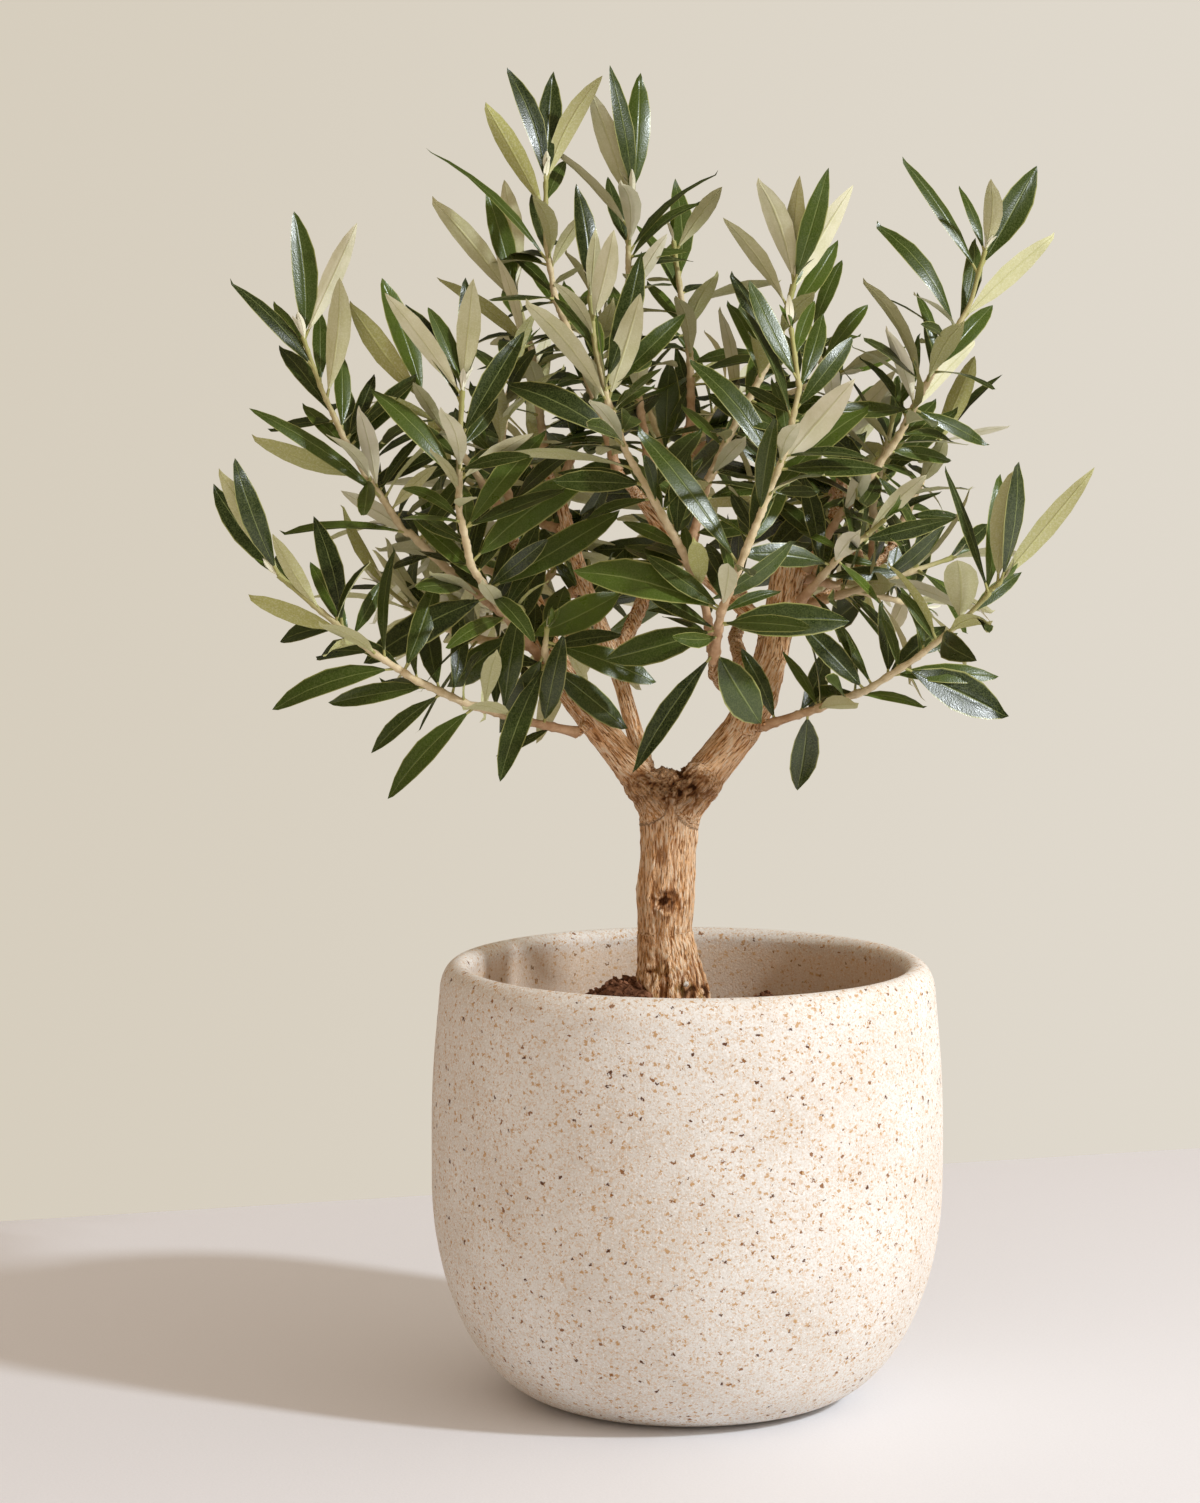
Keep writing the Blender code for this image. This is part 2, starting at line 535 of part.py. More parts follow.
def try_leaf(placed, shoot, foot, tip, upper, width):
    """Add the leaf if it finds room, and say whether it did."""
    room = (width + 2 * CLEAR, LEAF_THICKNESS + 2 * CLEAR)
    beyond = tip + unit(tip - foot) * CLEAR
    shapes = [leaf_shape(foot, beyond, upper, *room, start=start) for start in (0, STALK - 0.1, OFF_TWIG)]
    if not placed.free(*shapes, "twig_" + shoot, shoot):
        return None
    corners, faces = leaf_shape(foot, tip, upper, width, LEAF_THICKNESS)
    placed.add(corners, faces, shoot)
    return corners, faces


def front_leaves(path, rows, owner, placed):
    """The leaves that are given one by one, each moved in depth until it hangs clear."""
    front = np.array([0.0, -1.0, 0.1])
    leaves = []
    length = np.linalg.norm(np.diff(path, axis=0), axis=1).sum()
    for distance, right, up, turn, *wide in rows:
        foot, twig = at_distance(path, min(distance, length - 1))
        flat = math.hypot(right, up)
        depth = turn / 10 * (8 + 0.6 * max(0.0, 48 - flat))
        upper = front * turn / 10 + (twig + np.array([0, 0, 0.3])) * (1 - abs(turn) / 10)
        for change in DEPTH_TRIES:
            way = np.array([right, depth + change, up], float)
            width = wide[0] if wide else LEAF_WIDTH * np.linalg.norm(way)
            leaf = try_leaf(placed, owner, foot, foot + way, upper, width)
            if leaf:
                leaves.append(leaf)
                break
    return leaves


def depth_leaves(path, owner, placed, draw):
    """Leaves that point to the front and to the back by turns, between the ones given one by one."""
    length = np.linalg.norm(np.diff(path, axis=0), axis=1).sum()
    leaves = []
    for index, distance in enumerate(np.arange(DEPTH_LEAF_START, length - 8, DEPTH_LEAF_STEP)):
        foot, twig = at_distance(path, distance)
        side = (-1, 1)[index % 2]
        for attempt in range(10):
            slack = 0.2 + 0.12 * attempt
            way = np.array([draw.uniform(-slack, slack), side, draw.uniform(-slack, slack)])
            way = unit(unit(way) * 0.8 + twig * 0.55)
            size = draw.uniform(34, 44) * (1 - 0.03 * attempt)
            upper = twig + np.array([0, 0, 0.6])
            leaf = try_leaf(placed, owner, foot, foot + way * size, upper, LEAF_WIDTH * size)
            if leaf:
                leaves.append(leaf)
                break
    return leaves


def paired_leaves(path, owner, placed, draw):
    """Opposite pairs along a twig, each pair a quarter turn from the last, opening wider lower down."""
    leaves = []
    length = np.linalg.norm(np.diff(path, axis=0), axis=1).sum()
    start = draw.uniform(0, math.pi)
    count = max(2, int((length - 16) / LEAF_PAIR_STEP) + 1)
    for pair in range(count):
        distance = length - 1.5 - pair * LEAF_PAIR_STEP
        foot, twig = at_distance(path, distance)
        side = unit(np.cross(twig, (0.3, 0.2, 1)))
        other = np.cross(twig, side)
        outward = (foot - CROWN_CENTRE) * (1, 1, 0.3)
        for half in range(2):
            for attempt in range(8):
                slack = 0.12 + 0.13 * attempt
                turn = start + (pair % 2) * math.pi / 2 + half * math.pi + draw.uniform(-slack, slack)
                opening = math.radians(36 + 9 * pair) + draw.uniform(-slack, slack) * 0.5
                size = (35 + 4.5 * min(pair, 3)) * draw.uniform(0.88, 1.12) * (1 - 0.03 * attempt)
                sideways = side * math.cos(turn) + other * math.sin(turn)
                way = twig * math.cos(opening) + sideways * math.sin(opening)
                way = unit(way - np.array([0, 0, 0.1 * pair]))
                upper = twig * 0.55 + unit(outward) * 0.4 + np.array([0, 0, 0.35])
                start_foot = foot - twig * half * 1.2
                leaf = try_leaf(placed, owner, start_foot, start_foot + way * size, upper, LEAF_WIDTH * size)
                if leaf:
                    leaves.append(leaf)
                    break
    return leaves


def mesh_arrays(source):
    """An object's corners in millimetres and its faces, for the search trees."""
    corners = np.array([list(corner.co) for corner in source.data.vertices]) / MM
    return corners, [tuple(face.vertices) for face in source.data.polygons]


def build_wood(parts, wood, paths):
    """Trunk, limbs, roots, knobs and the collars of the shoots, joined into one body."""
    pieces = []
    for name, (points, radii) in WOOD.items():
        level = 2 if max(radii) > 6 else 1
        pieces.append(tube(name, points, radii, level, parts))
    for index, (centre, half) in enumerate(BURLS):
        bpy.ops.mesh.primitive_ico_sphere_add(subdivisions=2, radius=MM)
        knob = bpy.context.object
        knob.data.transform(knob.matrix_world.Diagonal((*half, 1)))
        knob.data.transform(knob.matrix_world.Translation(Vector(centre) * MM))
        knob.name = f"burl_{index}"
        pieces.append(knob)
    for index in range(ROOT_COUNT):
        turn = 2 * math.pi * (index + 0.3) / ROOT_COUNT
        out = np.array([math.cos(turn), math.sin(turn), 0])
        points = [out * away + (TRUNK_X, 0, height) for away, height in ROOT_LINE]
        pieces.append(tube(f"root_{index}", points, ROOT_RADII, 0, parts))
    for name, path in paths.items():
        line = collar_line(wood, path)
        radii = [COLLAR_RADIUS * 1.15, COLLAR_RADIUS, COLLAR_RADIUS][-len(line):]
        pieces.append(tube("collar_" + name, line, radii, 0, parts))
    trunk = united("trunk", pieces[0], pieces[1:], parts, material("olive_bark", (0.42, 0.30, 0.20), 0.9))
    trunk.data.shade_smooth()
    trunk.data.set_sharp_from_angle(angle=math.radians(45))
    return trunk


def build_shoots(parts, trunk, paths):
    """One body for each shoot: its twig with the leaves that found room."""
    draw = random.Random(SEED + 1)
    looks = material("olive_leaf", (0.13, 0.19, 0.09), 0.45)
    placed = Placed()
    placed.add(*mesh_arrays(trunk), "trunk")
    twigs = {}
    for name, path in paths.items():
        radii = np.linspace(TWIG_RADIUS, TWIG_TIP_RADIUS, len(path))
        twigs[name] = tube("twig_" + name, path, radii, 0, parts)
        placed.add(*mesh_arrays(twigs[name]), "twig_" + name)
    total = 0
    for name, path in paths.items():
        if name in SHOOTS:
            leaves = front_leaves(path, SHOOTS[name][1], name, placed)
            leaves += depth_leaves(path, name, placed, draw)
        else:
            leaves = paired_leaves(path, name, placed, draw)
        blades = []
        for index, (corners, faces) in enumerate(leaves):
            mesh = bpy.data.meshes.new(f"{name}_leaf_{index}")
            mesh.from_pydata((corners * MM).tolist(), [], faces)
            blades.append(add_object(mesh.name, mesh, parts))
        made = united(name, twigs[name], blades, parts, looks)
        total += len(leaves)
        triangles = sum(len(face.vertices) - 2 for face in made.data.polygons)
        print(name, len(leaves), "leaves,", triangles, "triangles")
    print(total, "leaves on", len(paths), "shoots")


def main():
    drop(list(bpy.data.objects))
    parts = bpy.data.collections.new("olive_bonsai")
    cutters = bpy.data.collections.new("cutters")
    bpy.context.scene.collection.children.link(parts)
    bpy.context.scene.collection.children.link(cutters)
    build_pot(parts)
    build_soil(parts, cutters)
    wood = wood_samples()
    paths = {name: along(points, TWIG_STEP) for name, (points, _) in SHOOTS.items()}
    paths.update(grown_shoots(wood))
    trunk = build_wood(parts, wood, paths)
    build_shoots(parts, trunk, paths)


main()
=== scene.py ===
# %% [markdown]
# # A potted olive bonsai
# The object is a small olive tree, about half a metre tall, in a round stoneware pot. Its solid model
# is already made, with a node for the pot, the soil, the wood and each leafy shoot.
# This script dresses those nodes. Each one is hidden and a finer surface takes its place. The pot and
# the soil are drawn again from their measures, the wood starts from a copy of its node's mesh, and
# every leaf is read back from its node's corners, so that no leaf has to be placed by eye.

# %% Load the solid model
import functools
import itertools
import math

import bpy
import numpy as np
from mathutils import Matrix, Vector


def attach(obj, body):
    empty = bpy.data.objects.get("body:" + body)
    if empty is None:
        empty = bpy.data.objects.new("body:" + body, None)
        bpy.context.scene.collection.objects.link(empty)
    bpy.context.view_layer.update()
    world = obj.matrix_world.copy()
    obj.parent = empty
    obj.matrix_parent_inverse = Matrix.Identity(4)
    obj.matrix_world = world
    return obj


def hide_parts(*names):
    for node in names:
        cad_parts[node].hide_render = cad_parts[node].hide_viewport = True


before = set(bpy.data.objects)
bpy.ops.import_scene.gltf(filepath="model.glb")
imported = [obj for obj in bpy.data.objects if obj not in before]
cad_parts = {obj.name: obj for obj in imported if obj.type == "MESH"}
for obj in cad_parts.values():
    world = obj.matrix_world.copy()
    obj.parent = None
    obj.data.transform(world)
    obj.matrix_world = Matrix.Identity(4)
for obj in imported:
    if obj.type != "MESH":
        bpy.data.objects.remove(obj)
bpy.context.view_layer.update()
MM = 0.001


def in_scene(name, data):
    """A new object in the scene, from a mesh, a lamp or a camera."""
    made = bpy.data.objects.new(name, data)
    bpy.context.scene.collection.objects.link(made)
    return made


# %% [markdown]
# ## Camera
# A portrait of a plant is usually taken from a little above the pot with a long lens, which keeps
# the rim a flat ellipse. A camera 1.5 m away with a 93 mm lens gives the calm perspective of the
# picture that the plant was modelled from. Depth of field stays off, so every leaf is sharp.

# %% Camera
CAMERA_PLACE = (-0.034, -1.5, 0.405)
CAMERA_DIP = 5.81

camera = in_scene("camera", bpy.data.cameras.new("camera"))
camera.data.sensor_fit = "VERTICAL"
camera.data.sensor_height = 36
camera.data.lens = 93.15
camera.location = CAMERA_PLACE
camera.rotation_euler = (math.radians(90 - CAMERA_DIP), 0, 0)
bpy.context.scene.camera = camera
print("camera at", CAMERA_PLACE)

# %% [markdown]
# ## Light and floor
# One small lamp stands to the right and in front, as high as the sun in mid-morning, and a warm
# world fills the shadows. The Standard view keeps colours as they are set, which makes them easy
# to match. The floor is a pale table top with a straight far edge.

# %% Key light
TO_LIGHT = Vector((0.737, -0.424, 0.527)).normalized()
LIGHT_DISTANCE = 2.2
LIGHT_AIM = Vector((0, 0, 0.24))

key = in_scene("key_light", bpy.data.lights.new("key_light", "AREA"))
key.data.shape = "DISK"
key.data.size = 0.17
key.data.energy = 36.5
key.data.color = (0.88, 0.93, 0.98)
key.location = LIGHT_AIM + TO_LIGHT * LIGHT_DISTANCE
key.rotation_euler = TO_LIGHT.to_track_quat("Z", "Y").to_euler()
bpy.context.scene.view_settings.view_transform = "Standard"
print("key light at", tuple(round(v, 2) for v in key.location))

# %% [markdown]
# Materials are built from nodes. One short helper adds a node, sets its options and fills its inputs
# with a value or a link, so that a material reads as a list of steps. Most steps are coats: a colour
# is laid over the ones before it wherever some value is high.

# %% Node helpers
def fill(tree, made, inputs):
    """Gives a node its inputs, by name or number, as a value or as another node's output."""
    for name, value in inputs.items():
        if isinstance(value, bpy.types.NodeSocket):
            tree.links.new(value, made.inputs[name])
        else:
            made.inputs[name].default_value = value


def node(tree, kind, inputs=None, **options):
    """Adds a node, sets its options and fills its inputs."""
    made = tree.nodes.new("ShaderNode" + kind)
    for option, value in options.items():
        setattr(made, option, value)
    fill(tree, made, inputs or {})
    return made


def new_material(name):
    """A material with its node tree, its Principled shader, and the place on the object in metres."""
    material = bpy.data.materials.new(name)
    material.use_nodes = True
    tree = material.node_tree
    return material, tree, tree.nodes["Principled BSDF"], node(tree, "TexCoord").outputs["Object"]


def attribute(tree, name, output="Fac"):
    """A value that the mesh keeps for each of its points."""
    return node(tree, "Attribute", attribute_name=name).outputs[output]


def noise_node(tree, vector, scale, detail=3.0, rough=0.55, distortion=0.0):
    """Fractal noise from 0 to 1 at a number of cells per metre."""
    inputs = {"Vector": vector, "Scale": scale, "Detail": detail, "Roughness": rough,
              "Distortion": distortion}
    return node(tree, "TexNoise", inputs).outputs["Fac"]


def ramp(tree, value, low, high, to_low=0.0, to_high=1.0):
    """Carries a value from one range to another with soft ends, and clamps it."""
    inputs = {"Value": value, "From Min": low, "From Max": high, "To Min": to_low, "To Max": to_high}
    return node(tree, "MapRange", inputs, interpolation_type="SMOOTHSTEP").outputs["Result"]


def mixed(tree, share, first, second):
    """A colour between two colours."""
    return node(tree, "Mix", {0: share, 6: first, 7: second}, data_type="RGBA").outputs[2]


def coated(tree, colour, coats):
    """Lays coats over a colour. Each is a value, the range in which it grows, its share, and its tone."""
    for value, low, high, share, tone in coats:
        colour = mixed(tree, ramp(tree, value, low, high, 0.0, share), colour, tone)
    return colour


def maths(tree, operation, first, second=0.0):
    """One sum on two values."""
    return node(tree, "Math", {0: first, 1: second}, operation=operation).outputs[0]


def weighted(tree, pairs):
    """The sum of value times weight over all pairs."""
    parts = [maths(tree, "MULTIPLY", value, weight) for value, weight in pairs]
    return functools.reduce(lambda total, part: maths(tree, "ADD", total, part), parts)


def set_surface(tree, shader, colour, roughness, specular):
    """Gives a shader its colour, roughness and specular level."""
    fill(tree, shader, {"Base Color": colour, "Roughness": roughness, "Specular IOR Level": specular})


def bumped(tree, shader, height, distance, strength=1.0):
    """Turns a height from 0 to 1 into shading relief of a given depth in metres."""
    bump = node(tree, "Bump", {"Height": height, "Distance": distance, "Strength": strength})
    fill(tree, shader, {"Normal": bump.outputs["Normal"]})


# %% [markdown]
# The room's light comes from all round, and is warm. It is stronger from the lamp's side, so that
# what faces away from the lamp is darker and warmer. A glossy leaf mirrors the room, so a room that
# is bright everywhere would lay a grey haze over the leaves. The Light Path node tells which rays
# come from a glossy bounce, and those find a darker room, so that the leaves keep their deep green.
# The camera itself sees a plain wall.

# %% World
WALL_LEFT, WALL_RIGHT = (0.672, 0.612, 0.510, 1), (0.745, 0.695, 0.612, 1)
ROOM_LEFT, ROOM_RIGHT = (0.46, 0.350, 0.255, 1), (0.91, 0.780, 0.650, 1)
ROOM_IN_GLOSS = (0.055, 0.05, 0.045, 1)

world = bpy.data.worlds.new("warm_room")
world.use_nodes = True
tree = world.node_tree
direction = node(tree, "TexCoord").outputs["Generated"]
ray = node(tree, "LightPath")
rightwards = node(tree, "SeparateXYZ", {"Vector": direction}).outputs["X"]
room = mixed(tree, ramp(tree, rightwards, -0.9, 0.9), ROOM_LEFT, ROOM_RIGHT)
room = mixed(tree, ray.outputs["Is Glossy Ray"], room, ROOM_IN_GLOSS)
wall = mixed(tree, ramp(tree, rightwards, -0.2, 0.2), WALL_LEFT, WALL_RIGHT)
seen = mixed(tree, ray.outputs["Is Camera Ray"], room, wall)
fill(tree, tree.nodes["Background"], {"Color": seen})
bpy.context.scene.world = world

# %% Floor material
floor_material, tree, shader, place = new_material("pale_table")
grain = noise_node(tree, place, 900, 4)
shade = mixed(tree, ramp(tree, grain, 0.3, 0.7), (0.825, 0.840, 0.885, 1), (0.850, 0.865, 0.910, 1))
set_surface(tree, shader, shade, 0.6, 0.5)
bumped(tree, shader, grain, 0.00006)

# %% Table top
TABLE_TURN = math.radians(16.1)
FAR_EDGE = 0.373
TABLE_REACH = 1.6
TABLE_THICKNESS = 0.03

along = np.array([math.cos(TABLE_TURN), math.sin(TABLE_TURN), 0]) * TABLE_REACH
away = np.array([-math.sin(TABLE_TURN), math.cos(TABLE_TURN), 0])
near, far = -away * TABLE_REACH, away * FAR_EDGE
top_corners = np.array([near - along, near + along, far + along, far - along])
low_corners = top_corners - (0, 0, TABLE_THICKNESS)
sides = [(i + 4, (i + 1) % 4 + 4, (i + 1) % 4, i) for i in range(4)]
table_mesh = bpy.data.meshes.new("table_top")
table_mesh.from_pydata(np.vstack([top_corners, low_corners]), [], [(0, 1, 2, 3), (7, 6, 5, 4)] + sides)
table_mesh.materials.append(floor_material)
table_top = in_scene("table_top", table_mesh)

# %% [markdown]
# ## Numbers that look like nature
# Clay, soil and bark are all uneven in the same way: large soft changes with smaller ones on top.
# Value noise gives that. Each corner of a grid of cubes gets a random number, and a point inside
# blends the eight corners round it. Adding the noise to itself at double the scale and half the
# strength, a few times over, gives the fine part. It is worked out for all points at once.

# %% Noise
HASH = np.array([127.1, 311.7, 74.7])
HASH_SCALE = 43758.5453
SEED_STEP = 17.31
SHIFT = 1000


def soft_noise(points, scale, seed=0.0):
    """Random numbers on a grid of cubes, blended with 3t^2 - 2t^3 along each side, from -1 to 1."""
    spot = points * scale + seed * SEED_STEP + SHIFT
    cell = np.floor(spot)
    t = spot - cell
    t = t * t * (3 - 2 * t)
    total = np.zeros(len(points))
    for corner in itertools.product((0, 1), repeat=3):
        random_number = np.modf(np.abs(np.sin((cell + corner) @ HASH)) * HASH_SCALE)[0]
        total += random_number * np.prod(np.where(corner, t, 1 - t), axis=1)
    return total * 2 - 1


def layered_noise(points, scale, layers=4, seed=0.0):
    """The sum of soft noise at scale, 2 scale, 4 scale and so on, each half as strong as the last."""
    return sum(soft_noise(points, scale * 2 ** k, seed + k) / 2 ** k for k in range(layers))


# %% [markdown]
# ## From arrays to meshes
# Every piece is a mesh whose points are one numpy array. Blender copies such an array in one step
# with foreach_set and out again with foreach_get. A turned or carried form is a stack of rings, so its
# faces follow from the number of rings and the points in each.

# %% Mesh helpers
def read(collection, field, columns, kind=np.float32):
    """The numbers of a mesh's points, faces or corners as an array with the given columns."""
    numbers = np.empty(len(collection) * columns, kind)
    collection.foreach_get(field, numbers)
    return numbers.reshape(-1, columns)


def surface_piece(name, points, faces, materials, node_name, uv=None, values=None, sides=None):
    """Puts points in millimetres and their faces into an object that stands for a node of the solid.

    Values are numbers or arrows for each point, and sides give each face the number of its material.
    """
    mesh = bpy.data.meshes.new(name)
    mesh.from_pydata(np.asarray(points) * MM, [], faces)
    for material in materials:
        mesh.materials.append(material)
    mesh.polygons.foreach_set("use_smooth", np.ones(len(mesh.polygons), bool))
    if sides is not None:
        mesh.polygons.foreach_set("material_index", np.asarray(sides, np.int32))
    if uv is not None:
        corner_uv = uv[read(mesh.loops, "vertex_index", 1, np.int32).ravel()]
        mesh.uv_layers.new(name="UVMap").data.foreach_set("uv", corner_uv.astype(np.float32).ravel())
    for key_name, numbers in (values or {}).items():
        numbers = np.asarray(numbers, np.float32)
        kind, field = ("FLOAT_VECTOR", "vector") if numbers.ndim == 2 else ("FLOAT", "value")
        mesh.attributes.new(key_name, kind, "POINT").data.foreach_set(field, numbers.ravel())
    mesh.update()
    piece = in_scene(name, mesh)
    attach(piece, "root")
    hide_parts(node_name)
    return piece


def ring_faces(rings, sides):
    """Quads between neighbouring rings, each ring a closed loop of the same number of points."""
    ring, side = np.meshgrid(np.arange(rings - 1), np.arange(sides), indexing="ij")
    after = (side + 1) % sides
    quads = np.stack([ring * sides + side, ring * sides + after,
                      (ring + 1) * sides + after, (ring + 1) * sides + side], axis=-1)
    return quads.reshape(-1, 4)


def turned_faces(rings, sides):
    """Quads between the rings and a fan of triangles round each end. The two end points come last."""
    here = np.arange(sides)
    after = (here + 1) % sides
    last = (rings - 1) * sides
    first_fan = np.column_stack([here, after, np.full(sides, rings * sides)])
    last_fan = np.column_stack([last + after, last + here, np.full(sides, rings * sides + 1)])
    return ring_faces(rings, sides)[:, ::-1].tolist() + first_fan.tolist() + last_fan.tolist()


# %% [markdown]
# ## The pot
# The pot is stoneware: a pale cream clay full of sand, left unglazed. It was turned, so its whole
# form is one outline carried round an axis. The outline is drawn with an egg-shaped belly, a nearly
# straight wall, and a rim that rounds over smoothly. A turned pot is never quite true, so its radius
# changes by a few tenths of a millimetre with the angle and the height.

# %% Outline of the pot
BASE_RADIUS, BELLY_RADIUS, BELLY_HEIGHT = 52.0, 100.0, 85.0
SHOULDER_RADIUS, SHOULDER_HEIGHT, SHOULDER_BULGE = 96.9, 158.5, 1.2
CREST_RADIUS, RIM_HEIGHT, LIP_RADIUS = 89.8, 170.4, 4.7
HOLLOW_RADIUS, HOLLOW_CORNER, HOLLOW_DEPTH = 89.0, 48.0, 72.0
NECK_RADIUS, NECK_CURVE = 85.1, 1.3
FLOOR_HEIGHT, FLOOR_POINTS = 13.0, 7
AXIS_RADIUS = 4.0


def arc(middle, reach, start, end, count):
    """Points (r + a cos t, z + b sin t) of an ellipse round (r, z), with t in degrees."""
    turn = np.radians(np.linspace(start, end, count))
    return np.array(middle) + np.array(reach) * np.stack([np.cos(turn), np.sin(turn)], axis=1)


def pot_outline():
    """Points (radius, height) from the floor's middle, up the inside, over the rim, to under the base."""
    inside = arc((HOLLOW_RADIUS - HOLLOW_CORNER, BELLY_HEIGHT), (HOLLOW_CORNER, HOLLOW_DEPTH), -84, 0, 26)
    floor = np.linspace((AXIS_RADIUS, FLOOR_HEIGHT), (inside[0, 0], FLOOR_HEIGHT), FLOOR_POINTS + 1)[:-1]
    rise = np.linspace(0, 1, 24)[1:-1]
    neck = np.stack([HOLLOW_RADIUS + (NECK_RADIUS - HOLLOW_RADIUS) * rise ** NECK_CURVE,
                     BELLY_HEIGHT + (SHOULDER_HEIGHT - BELLY_HEIGHT) * rise], axis=1)
    lip = arc((CREST_RADIUS, RIM_HEIGHT - LIP_RADIUS), (LIP_RADIUS, LIP_RADIUS), 184, 94, 12)
    rim = arc((CREST_RADIUS, SHOULDER_HEIGHT),
              (SHOULDER_RADIUS - CREST_RADIUS, RIM_HEIGHT - SHOULDER_HEIGHT), 90, 4, 16)
    shoulder = np.linspace((SHOULDER_RADIUS, SHOULDER_HEIGHT), (BELLY_RADIUS, BELLY_HEIGHT), 30)
    shoulder[:, 0] += SHOULDER_BULGE * np.sin(np.linspace(0, np.pi, 30))
    belly = arc((BASE_RADIUS, BELLY_HEIGHT), (BELLY_RADIUS - BASE_RADIUS, BELLY_HEIGHT), 0, -88, 34)
    base = np.linspace((BASE_RADIUS, 0), (AXIS_RADIUS, 0), 8)
    return np.vstack([floor, inside, neck, lip, rim, shoulder[:-1], belly, base])


outline = pot_outline()
print("pot outline:", len(outline), "points, widest", round(outline[:, 0].max(), 1), "mm")

# %% Pot surface
POT_SIDES = 224
INSET = 0.3
FADE_RADIUS = 40
FOOT_BAND = 0.5


def carried_round(outline, sides):
    """Each outline point (r, z) becomes a ring of points (r cos a, r sin a, z)."""
    angle = np.arange(sides) * 2 * np.pi / sides
    radius, height = outline[:, :1], outline[:, 1:]
    points = np.stack([radius * np.cos(angle), radius * np.sin(angle), height + 0 * angle], axis=-1)
    return points.reshape(-1, 3)


points = carried_round(outline, POT_SIDES)
angle = np.arctan2(points[:, 1], points[:, 0])
radius = np.hypot(points[:, 0], points[:, 1])
wobble = 0.16 * np.sin(2 * angle + 0.7 + points[:, 2] / 60) + 0.14 * soft_noise(points, 0.04, 3)
sand = 0.045 * layered_noise(points, 0.7, 3, 5)
swell = (wobble - INSET + sand) * np.clip(radius / FADE_RADIUS, 0, 1)
swell = np.where(points[:, 2] < FOOT_BAND, np.minimum(swell, 0), swell)
points[:, :2] *= (1 + swell / radius)[:, None]
pot_points = np.vstack([points, [[0, 0, FLOOR_HEIGHT], [0, 0, 0]]])
pot_faces = turned_faces(len(outline), POT_SIDES)
print("pot:", len(pot_points), "points,", len(pot_faces), "faces")

# %% [markdown]
# The clay's look comes from what is in it. Fine sand gives it a tan grain all over, larger grains of
# iron-rich grog leave orange freckles, and a few have burnt to brown specks about a millimetre wide.
# Four sizes of cells of a Voronoi texture make the four sizes of speck: a speck is drawn where a
# point is near its cell's middle, and the cell's own random colour decides its size. The coordinates
# are first bent by noise, so that no speck is round. The specks are sunk a little, and a grain of
# sand that stands out catches the light. The inside wall between the lip and the soil is painted a
# darker, warmer tone, as painted shade.

# %% Specks
stoneware, tree, shader, place = new_material("speckled_stoneware")
bend = node(tree, "TexNoise", {"Vector": place, "Scale": 900.0, "Detail": 2.0}).outputs["Color"]
bend = node(tree, "VectorMath", {0: bend, 1: (0.5, 0.5, 0.5)}, operation="SUBTRACT").outputs[0]
bend = node(tree, "VectorMath", {0: bend, 3: 0.0030}, operation="SCALE").outputs[0]
bent = node(tree, "VectorMath", {0: place, 1: bend}, operation="ADD").outputs[0]
bent = node(tree, "Mapping", {"Vector": bent, "Scale": (1.0, 1.0, 1.25)}).outputs[0]


def specks(tree, vector, cells, size, share):
    """1 inside a speck and 0 outside it. Only the given share of the cells has one."""
    cell = node(tree, "TexVoronoi", {"Vector": vector, "Scale": cells})
    chance = node(tree, "SeparateColor", {"Color": cell.outputs["Color"]})
    reach = ramp(tree, chance.outputs[0], 1 - share, 1.0, 0.0, size)
    return ramp(tree, maths(tree, "SUBTRACT", reach, cell.outputs["Distance"]), -0.02, 0.04)


burnt_specks = specks(tree, bent, 165.0, 0.170, 0.60)
rust_specks = specks(tree, bent, 270.0, 0.240, 0.50)
tan_specks = specks(tree, bent, 440.0, 0.38, 0.75)
sand_grains = specks(tree, bent, 900.0, 0.56, 0.85)

# %% Clay
PALE_CLAY, CREAM_CLAY = (0.730, 0.690, 0.635, 1), (0.815, 0.795, 0.755, 1)
# The tone of the painted shade on the pot's inside wall.
INNER_WALL_SHADE = (0.70, 0.46, 0.24, 1)

cloud = noise_node(tree, place, 26, 4)
grit = noise_node(tree, place, 1250, 3, 0.65)
clay = mixed(tree, ramp(tree, cloud, 0.32, 0.68), PALE_CLAY, CREAM_CLAY)
clay = coated(tree, clay, [
    (grit, 0.52, 0.70, 0.50, (0.60, 0.43, 0.28, 1)),
    (grit, 0.48, 0.32, 0.80, (0.96, 0.95, 0.93, 1)),
])
for found, strength, tone in (
        (sand_grains, 0.55, (0.64, 0.41, 0.21, 1)),
        (tan_specks, 0.80, (0.53, 0.29, 0.095, 1)),
        (rust_specks, 0.92, (0.27, 0.110, 0.028, 1)),
        (burnt_specks, 0.96, (0.110, 0.034, 0.008, 1))):
    clay = mixed(tree, maths(tree, "MULTIPLY", found, strength), clay, tone)

flat = node(tree, "VectorMath", {0: place, 1: (1, 1, 0)}, operation="MULTIPLY").outputs[0]
from_axis = node(tree, "VectorMath", {0: flat}, operation="LENGTH").outputs["Value"]
height = node(tree, "SeparateXYZ", {"Vector": place}).outputs["Z"]
# Painted shade: the inside wall between the lip and the soil is laid over with a darker, warmer tone.
below_lip = ramp(tree, height, 0.169, 0.160, 0.0, 0.42)
above_soil = ramp(tree, height, 0.11, 0.12)
inside = ramp(tree, from_axis, 0.0900, 0.0880)
painted_inner_shade = maths(tree, "MULTIPLY", maths(tree, "MULTIPLY", below_lip, above_soil), inside)
clay = mixed(tree, painted_inner_shade, clay, INNER_WALL_SHADE)
set_surface(tree, shader, clay, 0.9, 0.1)
relief = weighted(tree, [(grit, 0.9), (burnt_specks, -1.0), (rust_specks, -0.6)])
bumped(tree, shader, relief, 0.0003, 0.85)

surface_piece("pot_stoneware", pot_points, pot_faces, [stoneware], "pot")

